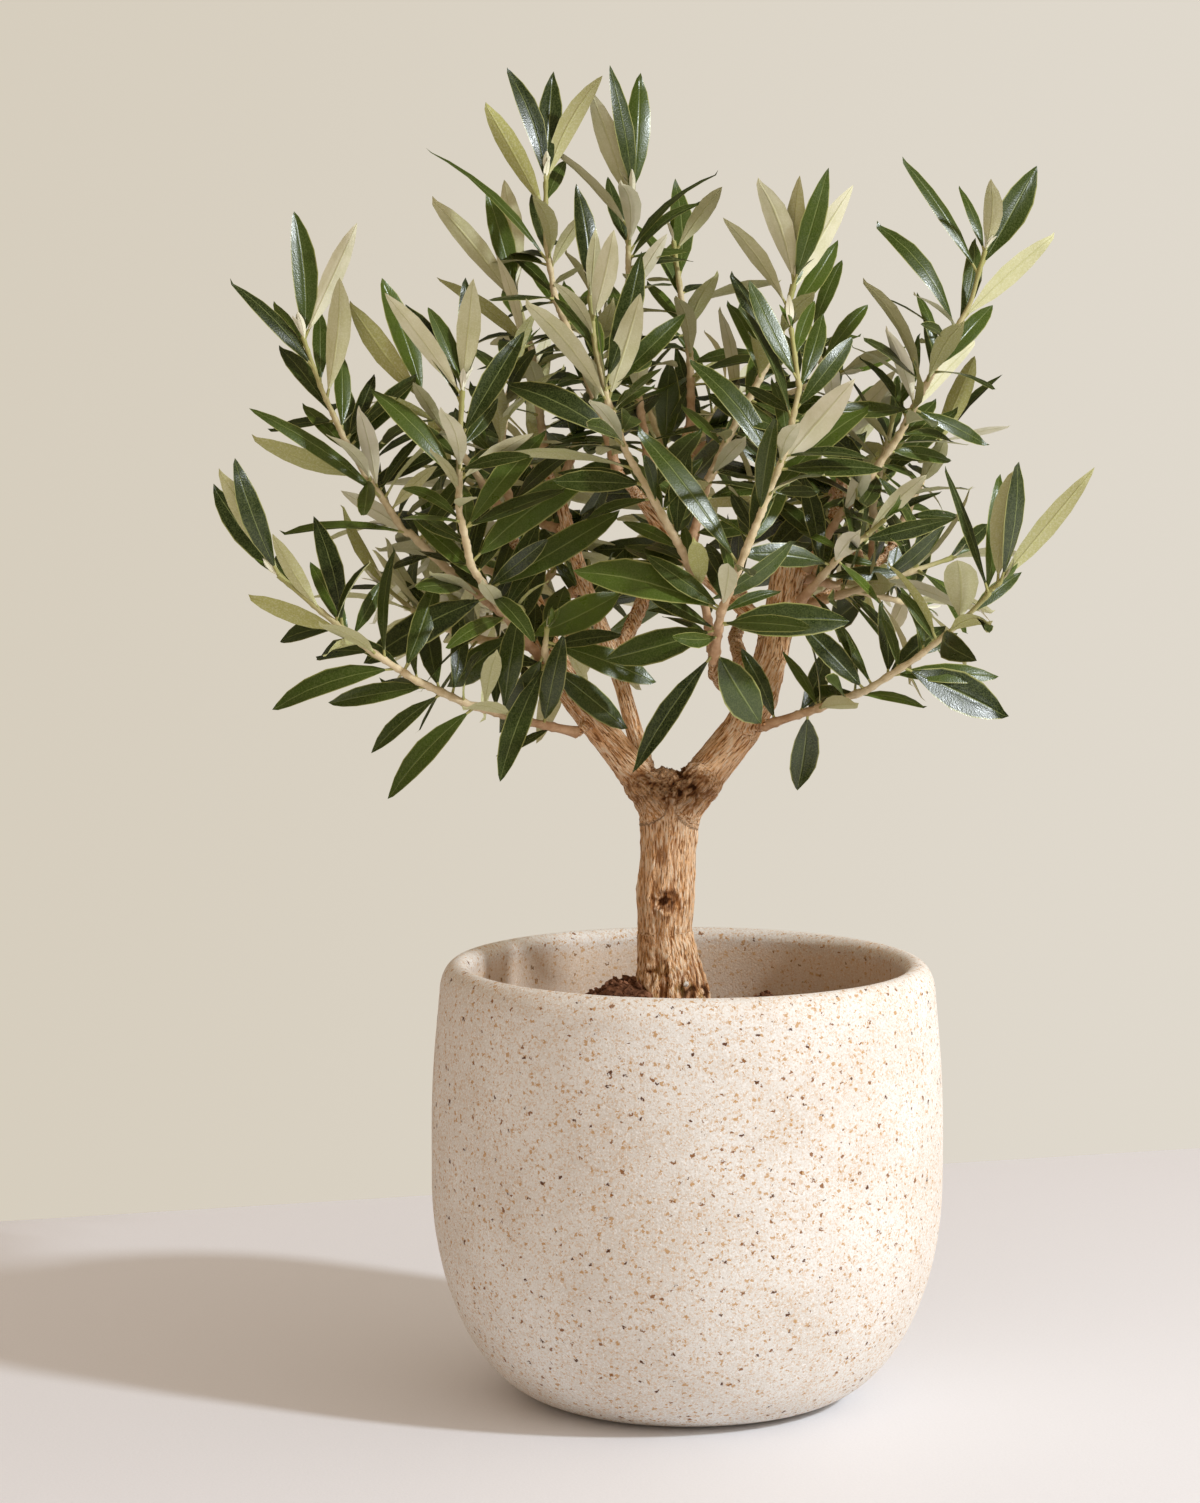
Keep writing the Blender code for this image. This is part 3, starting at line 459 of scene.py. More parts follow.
# %% [markdown]
# ## The soil
# Potting soil is a heap of crumbs with a few beads of white perlite. Close up it can't be one smooth
# sheet, so it is made in two layers: a rough bed, which is a height worked out on rings of points,
# and loose crumbs of twenty faces each that lie partly sunk in it. The bed rises to the trunk's left,
# where the soil was pressed against the roots, and once more to its right.

# %% Height of the bed
SOIL_LEVEL = 139.6
SETTLED = 0.6
MOUNDS = [((-24.5, -2.0), 24.0, 18.5), ((33.0, 26.0), 13.5, 9.0)]
WALL_GAP = 0.4
LIP_START = 160


def bed_height(flat):
    """Level plus bell-shaped mounds, h exp(-d^2 / 2 s^2), plus layered noise for the crumbs."""
    spot = np.column_stack([flat, np.zeros(len(flat))])
    rough = 1.5 * layered_noise(spot, 0.11, 4, 8) + 0.5 * layered_noise(spot, 0.6, 2, 9)
    mounds = sum(h * np.exp(-((flat - middle) ** 2).sum(axis=1) / (2 * s * s)) for middle, h, s in MOUNDS)
    return SOIL_LEVEL + mounds + rough - SETTLED


def inner_wall(height):
    """The radius of the pot's inside at a height, read from the outline between its floor and its lip."""
    hollow = outline[FLOOR_POINTS:np.argmax(outline[:, 1] > LIP_START)]
    return np.interp(height, hollow[:, 1], hollow[:, 0])


# %% Soil bed
BED_SIDES, BED_RINGS = 180, 70
BED_WALL = np.array([125.0, 105, 85, 65, 45, 30, 20, 14.2])
BED_BOTTOM = 14.0

share = np.linspace(0.03, 1, BED_RINGS) ** 0.85
flat = carried_round(np.column_stack([share, share]), BED_SIDES)[:, :2]
flat *= inner_wall(SOIL_LEVEL) - WALL_GAP
top = np.column_stack([flat, bed_height(flat)])
wall = carried_round(np.column_stack([inner_wall(BED_WALL) - WALL_GAP, BED_WALL]), BED_SIDES)
ends = np.array([[0, 0, bed_height(np.zeros((1, 2)))[0]], [0, 0, BED_BOTTOM]])
bed_points = np.vstack([top, wall, ends])
bed_faces = turned_faces(BED_RINGS + len(BED_WALL), BED_SIDES)
print("bed:", len(bed_points), "points")

# %% [markdown]
# A crumb is a ball of twelve points and twenty faces, which is the fewest that still look round. Its
# corners are three golden rectangles that stand across each other. Three corners that are all one
# edge apart make a face, so the faces are found by measuring and needn't be listed.

# %% One crumb
GOLDEN = (1 + 5 ** 0.5) / 2
LONGEST_EDGE = 1.1

BALL = np.array([(0, a, b * GOLDEN) for a in (-1, 1) for b in (-1, 1)], float)
BALL = np.vstack([BALL, BALL[:, [2, 0, 1]], BALL[:, [1, 2, 0]]])
BALL /= np.linalg.norm(BALL[0])
apart = np.linalg.norm(BALL[:, None] - BALL, axis=2)


def faces_out(a, b, c):
    """True where the normal (b - a) x (c - a) of a face points away from the ball's middle."""
    return np.dot(np.cross(BALL[b] - BALL[a], BALL[c] - BALL[a]), BALL[a]) > 0


BALL_FACES = [t for t in itertools.combinations(range(len(BALL)), 3)
              if all(apart[a, b] < LONGEST_EDGE for a, b in itertools.combinations(t, 2))]
BALL_FACES = np.array([t if faces_out(*t) else (t[0], t[2], t[1]) for t in BALL_FACES])

# %% Loose crumbs
CRUMBS = 1500
HEAPED_SHARE, HEAP_SPREAD = 0.35, 16


def turned_at_random(shapes, draw):
    """Each shape is turned by a random unit quaternion (w, q): p + 2 w (q x p) + 2 q x (q x p)."""
    quaternion = draw.normal(size=(4, len(shapes)))
    quaternion /= np.linalg.norm(quaternion, axis=0)
    w, q = quaternion[0][:, None, None], quaternion[1:].T[:, None]
    across = np.cross(q, shapes)
    return shapes + 2 * w * across + 2 * np.cross(q, across)


def crumbs(middle, size, draw):
    """Balls that are stretched, roughened, turned and scaled: middle + size (turned ball)."""
    count, corners = len(middle), len(BALL)
    stretch = draw.uniform(0.6, 1.1, (count, 1, 3)) * draw.uniform(0.75, 1.25, (count, corners, 1))
    shape = turned_at_random(BALL * stretch, draw)
    points = (middle[:, None] + shape * size[:, None, None]).reshape(-1, 3)
    faces = (BALL_FACES + np.arange(count)[:, None, None] * corners).reshape(-1, 3)
    return points, faces


draw = np.random.default_rng(41)
reach = (inner_wall(SOIL_LEVEL) - 3) * np.sqrt(draw.uniform(0, 1, CRUMBS))
turn = draw.uniform(0, 2 * np.pi, CRUMBS)
spot = np.column_stack([reach * np.cos(turn), reach * np.sin(turn)])
heaped = draw.random(CRUMBS) < HEAPED_SHARE
spot[heaped] = np.array(MOUNDS[0][0]) + draw.normal(0, HEAP_SPREAD, (heaped.sum(), 2))
size = 0.55 + 1.5 * draw.random(CRUMBS) ** 3
middle = np.column_stack([spot, bed_height(spot) + size * 0.25])
crumb_points, crumb_faces = crumbs(middle, size, draw)
print("crumbs:", CRUMBS, "of", len(BALL_FACES), "faces")

# %% White beads
BEADS = 26
BEAD_ON_ROOT, BEAD_ON_ROOT_SIZE = (-0.8, -13.6, 163.4), 1.9

bead_spot = draw.uniform(-62, 62, (BEADS, 2))
bead_size = draw.uniform(0.7, 1.25, BEADS)
bead_middle = np.column_stack([bead_spot, bed_height(bead_spot) + bead_size * 0.5])
bead_middle[0], bead_size[0] = BEAD_ON_ROOT, BEAD_ON_ROOT_SIZE
bead_points, bead_faces = crumbs(bead_middle, bead_size, draw)

# %% Soil material
soil_material, tree, shader, place = new_material("dark_potting_soil")
tone = attribute(tree, "tone")
fine = noise_node(tree, place, 420, 5, 0.65)
earth = mixed(tree, ramp(tree, fine, 0.3, 0.72), (0.055, 0.021, 0.010, 1), (0.215, 0.098, 0.052, 1))
earth = coated(tree, earth, [
    (tone, 0.35, 0.95, 0.75, (0.34, 0.165, 0.095, 1)),
    (tone, 1.50, 1.90, 1.00, (0.74, 0.72, 0.66, 1)),
])
set_surface(tree, shader, earth, 0.93, 0.1)
bumped(tree, shader, fine, 0.0007, 0.9)

# %% Soil piece
BED_TONE, BEAD_TONE = 0.3, 2.0

tone = np.concatenate([np.full(len(bed_points), BED_TONE), np.repeat(draw.random(CRUMBS), len(BALL)),
                       np.full(len(bead_points), BEAD_TONE)])
first_crumb = len(bed_points)
first_bead = first_crumb + len(crumb_points)
soil_points = np.vstack([bed_points, crumb_points, bead_points])
soil_faces = bed_faces + (crumb_faces + first_crumb).tolist() + (bead_faces + first_bead).tolist()
soil = surface_piece("soil_bed_and_crumbs", soil_points, soil_faces, [soil_material], "soil",
                     values={"tone": tone})
soil.data.polygons.foreach_set("use_smooth", [len(face) == 4 for face in soil_faces])

# %% [markdown]
# ## The wood
# The solid trunk is a rough union of tapered tubes. A copy of its mesh is welded, rebuilt as an even
# skin of small squares by the Remesh modifier, and smoothed. Bark is then raised on it with numpy.
# The relief has to run with the grain, so each point first gets its own grain coordinates: its
# offset from the middle line of the nearest limb, and a shortened distance along that limb. Noise
# on those coordinates is stretched along the limb, as fissures are. The fork is corky and lumpy,
# and the roots break into blocks, so noise on plain coordinates takes over there.

# %% Copy, weld and rebuild the trunk
WELD_GAP = 0.01 * MM
WOOD_SQUARE = 0.75 * MM
SMOOTHING, SMOOTHING_ROUNDS = 0.5, 14

wood = in_scene("wood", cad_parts["trunk"].data.copy())
wood.modifiers.new("weld", "WELD").merge_threshold = WELD_GAP
remesh = wood.modifiers.new("remesh", "REMESH")
remesh.mode, remesh.voxel_size, remesh.adaptivity = "VOXEL", WOOD_SQUARE, 0.0
smooth = wood.modifiers.new("smooth", "SMOOTH")
smooth.factor, smooth.iterations = SMOOTHING, SMOOTHING_ROUNDS
skin = bpy.data.meshes.new_from_object(wood.evaluated_get(bpy.context.evaluated_depsgraph_get()))
bpy.data.objects.remove(wood)
bark_points = read(skin.vertices, "co", 3).astype(float) / MM
bark_normals = read(skin.vertices, "normal", 3).astype(float)
bark_faces = read(skin.polygons, "vertices", 4, np.int32)
print("bark skin:", len(bark_points), "points,", len(bark_faces), "squares")

# %% Middle lines of the limbs
LIMBS = {
    "trunk": [(-6, 0, 110), (-6, 0, 157), (-8.8, 0, 182), (-7.6, 0, 213), (-7, 0, 238)],
    "left": [(-10, 0, 231), (-21, -2, 245), (-43, -7, 273), (-57, -12, 293), (-70, -20, 315)],
    "right": [(-3, 0, 231), (9, 0, 246), (20, 0, 260), (32, 6, 288), (40, 14, 330)],
    "back": [(-17, 2, 246), (-25, 19, 275), (-31, 32, 292), (-46, 42, 334), (-50, 38, 350)],
    "middle": [(33, 8, 297), (20, 14, 309), (4, 17, 322), (-17, 15, 348)],
}
GRAIN_SHARE = 0.15
LIMB_SHIFT = 61.0


def grain_of(points):
    """The nearest middle line's foot f and distance s give (p - f) + (0, 0, 0.15 s), and the gap |p - f|.

    Each limb's distance starts at a number of its own, so that no two limbs have the same grain.
    """
    best = np.full(len(points), np.inf)
    grain = np.zeros((len(points), 3))
    for number, line in enumerate(LIMBS.values()):
        line = np.array(line, float)
        travelled = LIMB_SHIFT * number
        for start, end in zip(line[:-1], line[1:]):
            step = end - start
            length = np.linalg.norm(step)
            share = np.clip((points - start) @ step / length ** 2, 0, 1)
            offset = points - start - share[:, None] * step
            gap = np.linalg.norm(offset, axis=1)
            offset[:, 2] += GRAIN_SHARE * (travelled + share * length)
            closer = gap < best
            best[closer], grain[closer] = gap[closer], offset[closer]
            travelled += length
    return grain, best


grain, gap = grain_of(bark_points)
print("limb radius in mm, middle value:", round(float(np.median(gap)), 1))

# %% Where the bark changes
FORK_MIDDLE, FORK_SPREAD = np.array([-6.0, -2.0, 239.5]), np.array([16.5, 15.0, 10.0])
KNOT_MIDDLE, KNOT_RADIUS = np.array([-8.9, -11.5, 195.5]), 5.8
ROOT_TOP, ROOT_DEPTH = 176, 22
TWIG_RADIUS, FULL_BARK = 3, 8


def bell(value):
    """exp(-x^2), which fades from 1 at 0 to almost nothing at 2."""
    return np.exp(-value ** 2)


thick = np.clip((gap - TWIG_RADIUS) / FULL_BARK, 0, 1)
fork = bell(np.linalg.norm((bark_points - FORK_MIDDLE) / FORK_SPREAD, axis=1) ** 1.5)
root = np.clip((ROOT_TOP - bark_points[:, 2]) / ROOT_DEPTH, 0, 1)
from_knot = np.linalg.norm((bark_points - KNOT_MIDDLE) * (1.0, 0.5, 1.15), axis=1)
swirl = from_knot + 1.7 * soft_noise(bark_points, 0.35, 52)
knot_ring = bell((swirl - KNOT_RADIUS) / 1.3)
knot_hole = bell(swirl / (KNOT_RADIUS * 0.72)) * (0.70 + 0.30 * np.sin(swirl * 3.2))

# %% Raise the bark
RIB, CRACK, BLOCK, CORK, WART = 0.36, 0.75, 1.35, 4.2, 0.6
KNOT_RISE, KNOT_SINK, KNOT_CORK = 1.1, 2.2, 1.6


def crumpled(points, scale, layers, seed):
    """The sum of |soft noise| / 2^k at doubling scales: rounded lumps with sharp creases between them."""
    return sum(abs(soft_noise(points, scale * 2 ** k, seed + k)) / 2 ** k for k in range(layers))


wander = np.column_stack([layered_noise(grain, 0.12, 2, seed) for seed in (20, 24, 28)])
wavy = grain + 0.9 * wander
ribs = layered_noise(wavy, 0.60, 3, 31)
cracks = bell(soft_noise(wavy, 0.36, 35) / 0.13) * (0.30 + 0.70 * root)
blocks = bell(soft_noise(bark_points * (1, 1, 0.6) + wavy * 0.3, 0.24, 38) / 0.17) * root
cork = crumpled(bark_points + 2.0 * ribs[:, None] * (0.6, 0.6, 0.2), 0.30, 3, 41) - 0.55
warts = np.clip(layered_noise(bark_points, 0.20, 2, 45), 0, 1) ** 2

raised = (RIB * ribs * (0.35 + 0.65 * thick) * (1 - 0.5 * fork)
          - CRACK * cracks * thick * (1 - 0.7 * fork)
          - BLOCK * blocks
          + fork * (CORK * cork + 0.1)
          + WART * warts * thick
          + KNOT_RISE * knot_ring - (KNOT_SINK + KNOT_CORK * cork) * knot_hole)
bark_points += bark_normals * raised[:, None]
# Painted shade: the cracks, the gaps between the root's blocks, the knot's hole, the fork's crevices and
# the grooves between ribs get a value for how dark they are painted.
deep_shade = np.clip(0.75 * cracks * thick + 1.0 * blocks + (1.1 - 1.6 * cork) * knot_hole
               + fork * np.clip(0.03 - cork, 0, 1) * 2.4 - 0.38 * ribs, 0, 1)
print("bark relief in mm, lowest and highest:", round(raised.min(), 2), round(raised.max(), 2))

# %% [markdown]
# Olive bark is tan and grey-brown in fine threads that run with the grain. Two noises on the grain
# coordinates give the threads: a broad one sets the ground between two tans, and a fine one lays a
# pale and a dark thread over it. What lies deep, which the relief has written down for each point,
# is painted darker as painted shade, the fork is granular, and a little moss grows low on the root.

# %% Bark material
bark, tree, shader, place = new_material("olive_bark")
along_grain = attribute(tree, "grain", "Vector")
deep_shade_share = attribute(tree, "deep_shade")
corky = attribute(tree, "corky")
streaks = noise_node(tree, along_grain, 0.75, 4, 0.6, 0.5)
threads = noise_node(tree, along_grain, 1.5, 3, 0.6, 0.3)
patches = noise_node(tree, place, 75, 3)
grit = noise_node(tree, place, 900, 3)
tan = mixed(tree, ramp(tree, streaks, 0.34, 0.64), (0.640, 0.320, 0.125, 1), (0.950, 0.630, 0.370, 1))
tan = coated(tree, tan, [
    (threads, 0.51, 0.60, 0.90, (0.980, 0.800, 0.600, 1)),
    (threads, 0.45, 0.38, 0.92, (0.215, 0.078, 0.022, 1)),
    (patches, 0.45, 0.80, 0.35, (0.680, 0.350, 0.150, 1)),
])
cork_grain = noise_node(tree, place, 600, 5, 0.78)
cork_tone = mixed(tree, ramp(tree, cork_grain, 0.38, 0.62),
                  (0.230, 0.082, 0.022, 1), (0.920, 0.540, 0.260, 1))
tan = mixed(tree, maths(tree, "MULTIPLY", corky, 0.72), tan, cork_tone)
# Painted shade: the bark is painted darker where the relief lies deep.
tan = coated(tree, tan, [
    (deep_shade_share, 0.15, 0.50, 0.80, (0.330, 0.125, 0.035, 1)),
    (deep_shade_share, 0.40, 0.85, 0.92, (0.060, 0.018, 0.005, 1)),
])
low = ramp(tree, node(tree, "SeparateXYZ", {"Vector": place}).outputs["Z"], 0.182, 0.150)
moss = maths(tree, "MULTIPLY", low, ramp(tree, noise_node(tree, place, 170, 4), 0.5, 0.68, 0.0, 0.55))
tan = mixed(tree, moss, tan, (0.300, 0.235, 0.050, 1))
set_surface(tree, shader, tan, 0.80, 0.12)
corky_grain = maths(tree, "MULTIPLY", corky, cork_grain)
relief = weighted(tree, [(streaks, 0.8), (threads, 1.0), (corky_grain, 3.0), (grit, 0.25)])
bumped(tree, shader, relief, 0.0015)

surface_piece("trunk_bark", bark_points, bark_faces.tolist(), [bark], "trunk",
              values={"grain": grain, "deep_shade": deep_shade, "corky": np.clip(fork * 1.3, 0, 1)})

# %% [markdown]
# ## Reading the shoots
# Each shoot's solid has one thin twig and its leaves, and each leaf is a few three-cornered rings
# that end in a point. That is all a finer leaf needs: where the foot, the tip and the upper side are,
# and how wide the blade is. So they are read back: a leaf's tip is a corner with just three
# neighbours, and the rings follow it down the blade.

# %% Weld a node's corners
def welded(name):
    """A node's corners in millimetres, each once, and the edges between them."""
    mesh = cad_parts[name].data
    place = read(mesh.vertices, "co", 3).astype(float) / MM
    corner, which = np.unique(np.round(place, 3), axis=0, return_inverse=True)
    triangle = which.reshape(-1)[read(mesh.polygons, "vertices", 3, np.int32)]
    edges = triangle[:, [[0, 1], [1, 2], [2, 0]]].reshape(-1, 2)
    return corner, np.unique(np.sort(edges, axis=1), axis=0)


def beside(edges, group):
    """The corners that share an edge with the group and aren't in it."""
    touching = edges[np.isin(edges, group).any(axis=1)]
    return np.setdiff1d(touching, group)


# %% Find the blades
OUTER_RING_SHARE = 0.68
OUTER_RING_BREADTH = 0.88
SOLID_ARCH = 0.05
SHORTEST_POINT = 4.0


def unit(arrows):
    """The arrows brought to length 1."""
    return arrows / np.linalg.norm(arrows, axis=-1, keepdims=True)


def ridge_and_edges(corner, ring):
    """A ring's two blade edges are its longest side, and the third corner is on the ridge."""
    pairs = [(1, 2, 0), (0, 2, 1), (0, 1, 2)]
    a, b, ridge = max(pairs, key=lambda p: np.linalg.norm(corner[ring[p[0]]] - corner[ring[p[1]]]))
    return corner[ring[ridge]], corner[ring[a]], corner[ring[b]]


def read_blades(corner, edges):
    """Foot, tip, upper side and width of each leaf, and the corners that belong to a leaf.

    The ring nearest the tip is at 0.68 of the chord, so the chord is (tip - ring middle) / 0.32,
    once the ring's middle is lowered by the height of the arch there.
    """
    neighbours = np.bincount(edges.ravel(), minlength=len(corner))
    blades, used = [], []
    for tip in np.flatnonzero(neighbours == 3):
        outer = beside(edges, [tip])
        linked = np.isin(edges, outer).all(axis=1).sum() == 3
        if not linked or np.linalg.norm(corner[outer] - corner[tip], axis=1).min() < SHORTEST_POINT:
            continue
        ridge, left, right = ridge_and_edges(corner, outer)
        upper = unit(ridge - (left + right) / 2)
        point = corner[tip] - corner[outer].mean(axis=0)
        length = np.linalg.norm(point) / (1 - OUTER_RING_SHARE)
        arch = upper * 4 * SOLID_ARCH * length * OUTER_RING_SHARE * (1 - OUTER_RING_SHARE)
        chord = (point + arch) / (1 - OUTER_RING_SHARE)
        width = np.linalg.norm(left - right) / OUTER_RING_BREADTH
        blades.append((corner[tip] - chord, corner[tip], upper, width))
        inner = beside(edges, [tip, *outer])
        used += [tip, *outer, *inner]
        if len(inner) == 3:
            used += beside(edges, [*outer, *inner, tip]).tolist()
    return blades, np.unique(used)


# %% [markdown]
# What is left of a shoot once its leaves are taken away is the twig, a chain of square rings. The
# rings aren't numbered, so the chain starts at the ring nearest the bark and goes on each time to the
# nearest one left. The leaves' feet lie on the same line, and give it more points.

# %% Find the twig's middle line
THINNEST_TWIG, THICKEST_TWIG = 2.0, 3.7
SAME_PLACE = 0.02
SHORTEST_STEP = 1.2


def read_twig(corner, used, feet):
    """The twig is square, so two diagonals of one length that share a middle mark one of its rings."""
    rest = corner[np.setdiff1d(np.arange(len(corner)), used)]
    first, second = np.triu_indices(len(rest), 1)
    across = np.linalg.norm(rest[first] - rest[second], axis=1)
    fits = (across > THINNEST_TWIG) & (across < THICKEST_TWIG)
    middle, across = (rest[first] + rest[second])[fits] / 2, across[fits]
    a, b = np.triu_indices(len(middle), 1)
    same = np.linalg.norm(middle[a] - middle[b], axis=1) < SAME_PLACE
    same &= abs(across[a] - across[b]) < SAME_PLACE
    rings, radii = middle[a][same], across[a][same] / 2
    from_bark = [((bark_points - ring) ** 2).sum(axis=1).min() for ring in rings]
    here = int(np.argmin(from_bark))
    left = list(zip(rings, radii)) + [(foot, None) for foot in feet]
    start, radius = left.pop(here)
    path, thickness = [start], [radius]
    while left:
        step = [np.linalg.norm(place - path[-1]) for place, radius in left]
        nearest = int(np.argmin(step))
        place, radius = left.pop(nearest)
        if step[nearest] > SHORTEST_STEP:
            path.append(place)
            thickness.append(radius)
    return np.array(path), [radius for radius in thickness if radius]


shoots = {}
for name in sorted(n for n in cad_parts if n.startswith("shoot")):
    corner, edges = welded(name)
    blades, used = read_blades(corner, edges)
    path, thickness = read_twig(corner, used, [blade[0] for blade in blades])
    shoots[name] = {"blades": blades, "path": path, "thickness": thickness}
print("leaves read back:", sum(len(s["blades"]) for s in shoots.values()), "on", len(shoots), "shoots")

# %% [markdown]
# ## A leaf
# An olive leaf is narrow and leathery. It is widest near its middle, pointed at both ends, and
# its halves rise from a sunken midrib and curl down at the margin. No two are alike: each bows,
# twists and folds by its own amount, which a seeded draw gives. One function shapes every leaf of a
# shoot at once, as an array of leaves by rings by eight points: five above and three below, so that
# the two sides stay parallel. A twisted quad is bent along one of its diagonals. The faces below are
# written from their second corner, which gives both sides the same diagonal, so they never cross.

# %% Shape of the leaves
STALK_SHARE = 0.09
BLADE_STOPS = np.array([0.0, 0.09, 0.26, 0.46, 0.66, 0.83, 0.95])
RING_ACROSS = np.array([-1.0, -0.52, 0.0, 0.52, 1.0, 0.52, 0.0, -0.52])
RING_TOP = np.array([0.0, 1.0, 1.0, 1.0, 0.0, -1.0, -1.0, -1.0])
RING_PLACES = np.concatenate([[0.0, STALK_SHARE * 0.5], STALK_SHARE + (1 - STALK_SHARE) * BLADE_STOPS])
LEAF_RINGS, LEAF_SIDES = len(RING_PLACES), len(RING_ACROSS)
HALF_THICKNESS = 0.24
STALK_RADII = [0.72, 0.52, 0.0]
BOW, BOW_SPREAD, DROOP, SWAY_SPREAD = 0.05, 0.030, 0.06, 0.024
TWIST_SPREAD, UNTWISTED_AT = 0.30, 0.35
BLADE_POWER, FULLNESS = (0.92, 1.12), (0.74, 0.98)
FOLD, CURL, WAVES, WAVE_HEIGHT = (0.05, 0.50), (0.05, 0.28), (5, 11), 0.06


def leaf_surfaces(foot, tip, upper, width, draw):
    """Rings across an arched midrib.

    At share s of the chord the midrib stands 4 b s (1 - s) - d s^4 above it and 4 c s (1 - s) to a
    side, and the ring turns by t (s - 0.35). With v the share of the blade, its half width is
    w/2 (4 v (1 - v))^k. A point at share a of the half width is raised by (f |a| - g a^2) times it,
    where f folds the blade, with a slight wave, and g curls its margin.
    """
    count = len(foot)
    one_each = (count, 1, 1)
    chord = tip - foot
    length = np.linalg.norm(chord, axis=1).reshape(one_each)
    forward = unit(chord)
    upper = unit(upper - forward * (upper * forward).sum(axis=1)[:, None])
    across = np.cross(forward, upper)
    a, s = RING_ACROSS, RING_PLACES[:, None]
    v = np.clip((s - STALK_SHARE) / (1 - STALK_SHARE), 0, 1) ** draw.uniform(*BLADE_POWER, one_each)
    hump = 4 * s * (1 - s)
    bow = length * (BOW + draw.normal(0, BOW_SPREAD, one_each)) * hump
    bow -= length * draw.uniform(0.0, DROOP, one_each) * s ** 4
    sway = length * draw.normal(0, SWAY_SPREAD, one_each) * hump
    turn = draw.normal(0, TWIST_SPREAD, one_each) * (s - UNTWISTED_AT)
    half = width.reshape(one_each) / 2 * (4 * v * (1 - v)) ** draw.uniform(*FULLNESS, one_each)
    stalk = np.interp(s, [0, STALK_SHARE, STALK_SHARE * 2.2], STALK_RADII)
    half = np.maximum(half, stalk)
    fold, curl = draw.uniform(*FOLD, one_each), draw.uniform(*CURL, one_each)
    waves, phase = draw.uniform(*WAVES, one_each), draw.uniform(0, 6, one_each)
    wave = WAVE_HEIGHT * np.sin(v * waves + phase)
    rise = half * ((fold + wave * np.sign(a)) * abs(a) - curl * a * a)
    thickness = np.maximum(HALF_THICKNESS * (1 - v ** 3), stalk)
    rise = (rise + thickness * RING_TOP * (1 - 0.5 * abs(a)))[..., None]
    sideways = (half * a + sway)[..., None]
    cos, sin = np.cos(turn)[..., None], np.sin(turn)[..., None]
    foot, chord, across, upper = (arrow[:, None, None] for arrow in (foot, chord, across, upper))
    points = (foot + chord * s[..., None] + upper * bow[..., None]
              + across * (sideways * cos - rise * sin) + upper * (sideways * sin + rise * cos))
    uv = np.stack(np.broadcast_arrays(0.5 + 0.5 * a, v), axis=-1)
    return points.reshape(count, -1, 3), uv.reshape(count, -1, 2)


# %% Faces of one leaf, and which side each is on
UPPER_SIDE, UNDER_SIDE, STALK = 0, 1, 2

tip_point = LEAF_RINGS * LEAF_SIDES
last_ring = tip_point - LEAF_SIDES
leaf_faces = ring_faces(LEAF_RINGS, LEAF_SIDES).tolist()
leaf_faces += [[last_ring + i, last_ring + (i + 1) % LEAF_SIDES, tip_point] for i in range(LEAF_SIDES)]
leaf_faces += [list(range(LEAF_SIDES))[::-1]]


def side_of(face):
    """The first two rings are stalk. Of each ring's strips, four are above and four below."""
    if face[0] < 2 * LEAF_SIDES:
        return STALK
    return UPPER_SIDE if face[0] % LEAF_SIDES < 4 else UNDER_SIDE


def from_second_corner(face, side):
    """The same face, but with a quad of the under side written from its second corner."""
    return face[1:] + face[:1] if len(face) == 4 and side == UNDER_SIDE else face


leaf_sides = [side_of(face) for face in leaf_faces[:-1]] + [STALK]
leaf_faces = [from_second_corner(face, side) for face, side in zip(leaf_faces, leaf_sides)]
print("faces a leaf:", len(leaf_faces))

# %% [markdown]
# ## A twig
# A young twig is a thin round stem that tapers to its bud, a little thicker wherever a pair of leaves
# sits. It is a ring of eight points carried along the middle line that was read from the solid. The
# line's corners are rounded with a Catmull-Rom curve, which passes through every point it is given.

# %% Smooth line and tube
TWIG_SIDES = 8
TWIG_STEP = 1.4


def smooth_line(path, step):
    """Catmull-Rom: half of 2 b + (c - a) t + (2 a - 5 b + 4 c - d) t^2 + (3 b - a - 3 c + d) t^3.

    It goes from b to c as t goes from 0 to 1, with a the point before b and d the one after c.
    """
    ends = np.vstack([2 * path[0] - path[1], path, 2 * path[-1] - path[-2]])
    pieces = []
    for a, b, c, d in zip(ends[:-3], ends[1:-2], ends[2:-1], ends[3:]):
        t = np.linspace(0, 1, max(2, int(np.linalg.norm(c - b) / step) + 1), endpoint=False)[:, None]
        square, cube = 2 * a - 5 * b + 4 * c - d, 3 * b - a - 3 * c + d
        pieces.append((2 * b + (c - a) * t + square * t ** 2 + cube * t ** 3) / 2)
    return np.vstack(pieces + [path[-1:]])


def tube(line, radius, sides):
    """At each point of the line a ring p + r (u cos a + w sin a), with u and w square to the line."""
    way = unit(np.gradient(line, axis=0))
    fixed = np.eye(3)[np.argmin(abs(line[-1] - line[0]))]
    u = unit(np.cross(way, fixed))
    w = np.cross(way, u)
    angle = (np.arange(sides) * 2 * np.pi / sides)[:, None]
    arrows = u[:, None] * np.cos(angle) + w[:, None] * np.sin(angle)
    points = (line[:, None] + radius[:, None, None] * arrows).reshape(-1, 3)
    corners = list(range(len(points)))
    return points, ring_faces(len(line), sides).tolist() + [corners[:sides][::-1], corners[-sides:]]


# %% [markdown]
# ## Leaf and twig finishes
# The two sides of an olive leaf hardly look alike. Above it is dark green and leathery, with a fine
# pebbled grain that breaks up its gloss, a thin pale midrib and a hair-thin pale margin. Below it is
# covered with silvery scales, matt, and its midrib stands out. A UV map carries both: across the
# blade from 0 to 1 with the midrib at one half, and along it from stalk to tip. A value called tone,
# drawn for each leaf, makes some leaves older and darker than others.

# %% Upper side of the leaves
DARK_GREEN, LIGHT_GREEN = (0.010, 0.018, 0.001, 1), (0.090, 0.145, 0.012, 1)


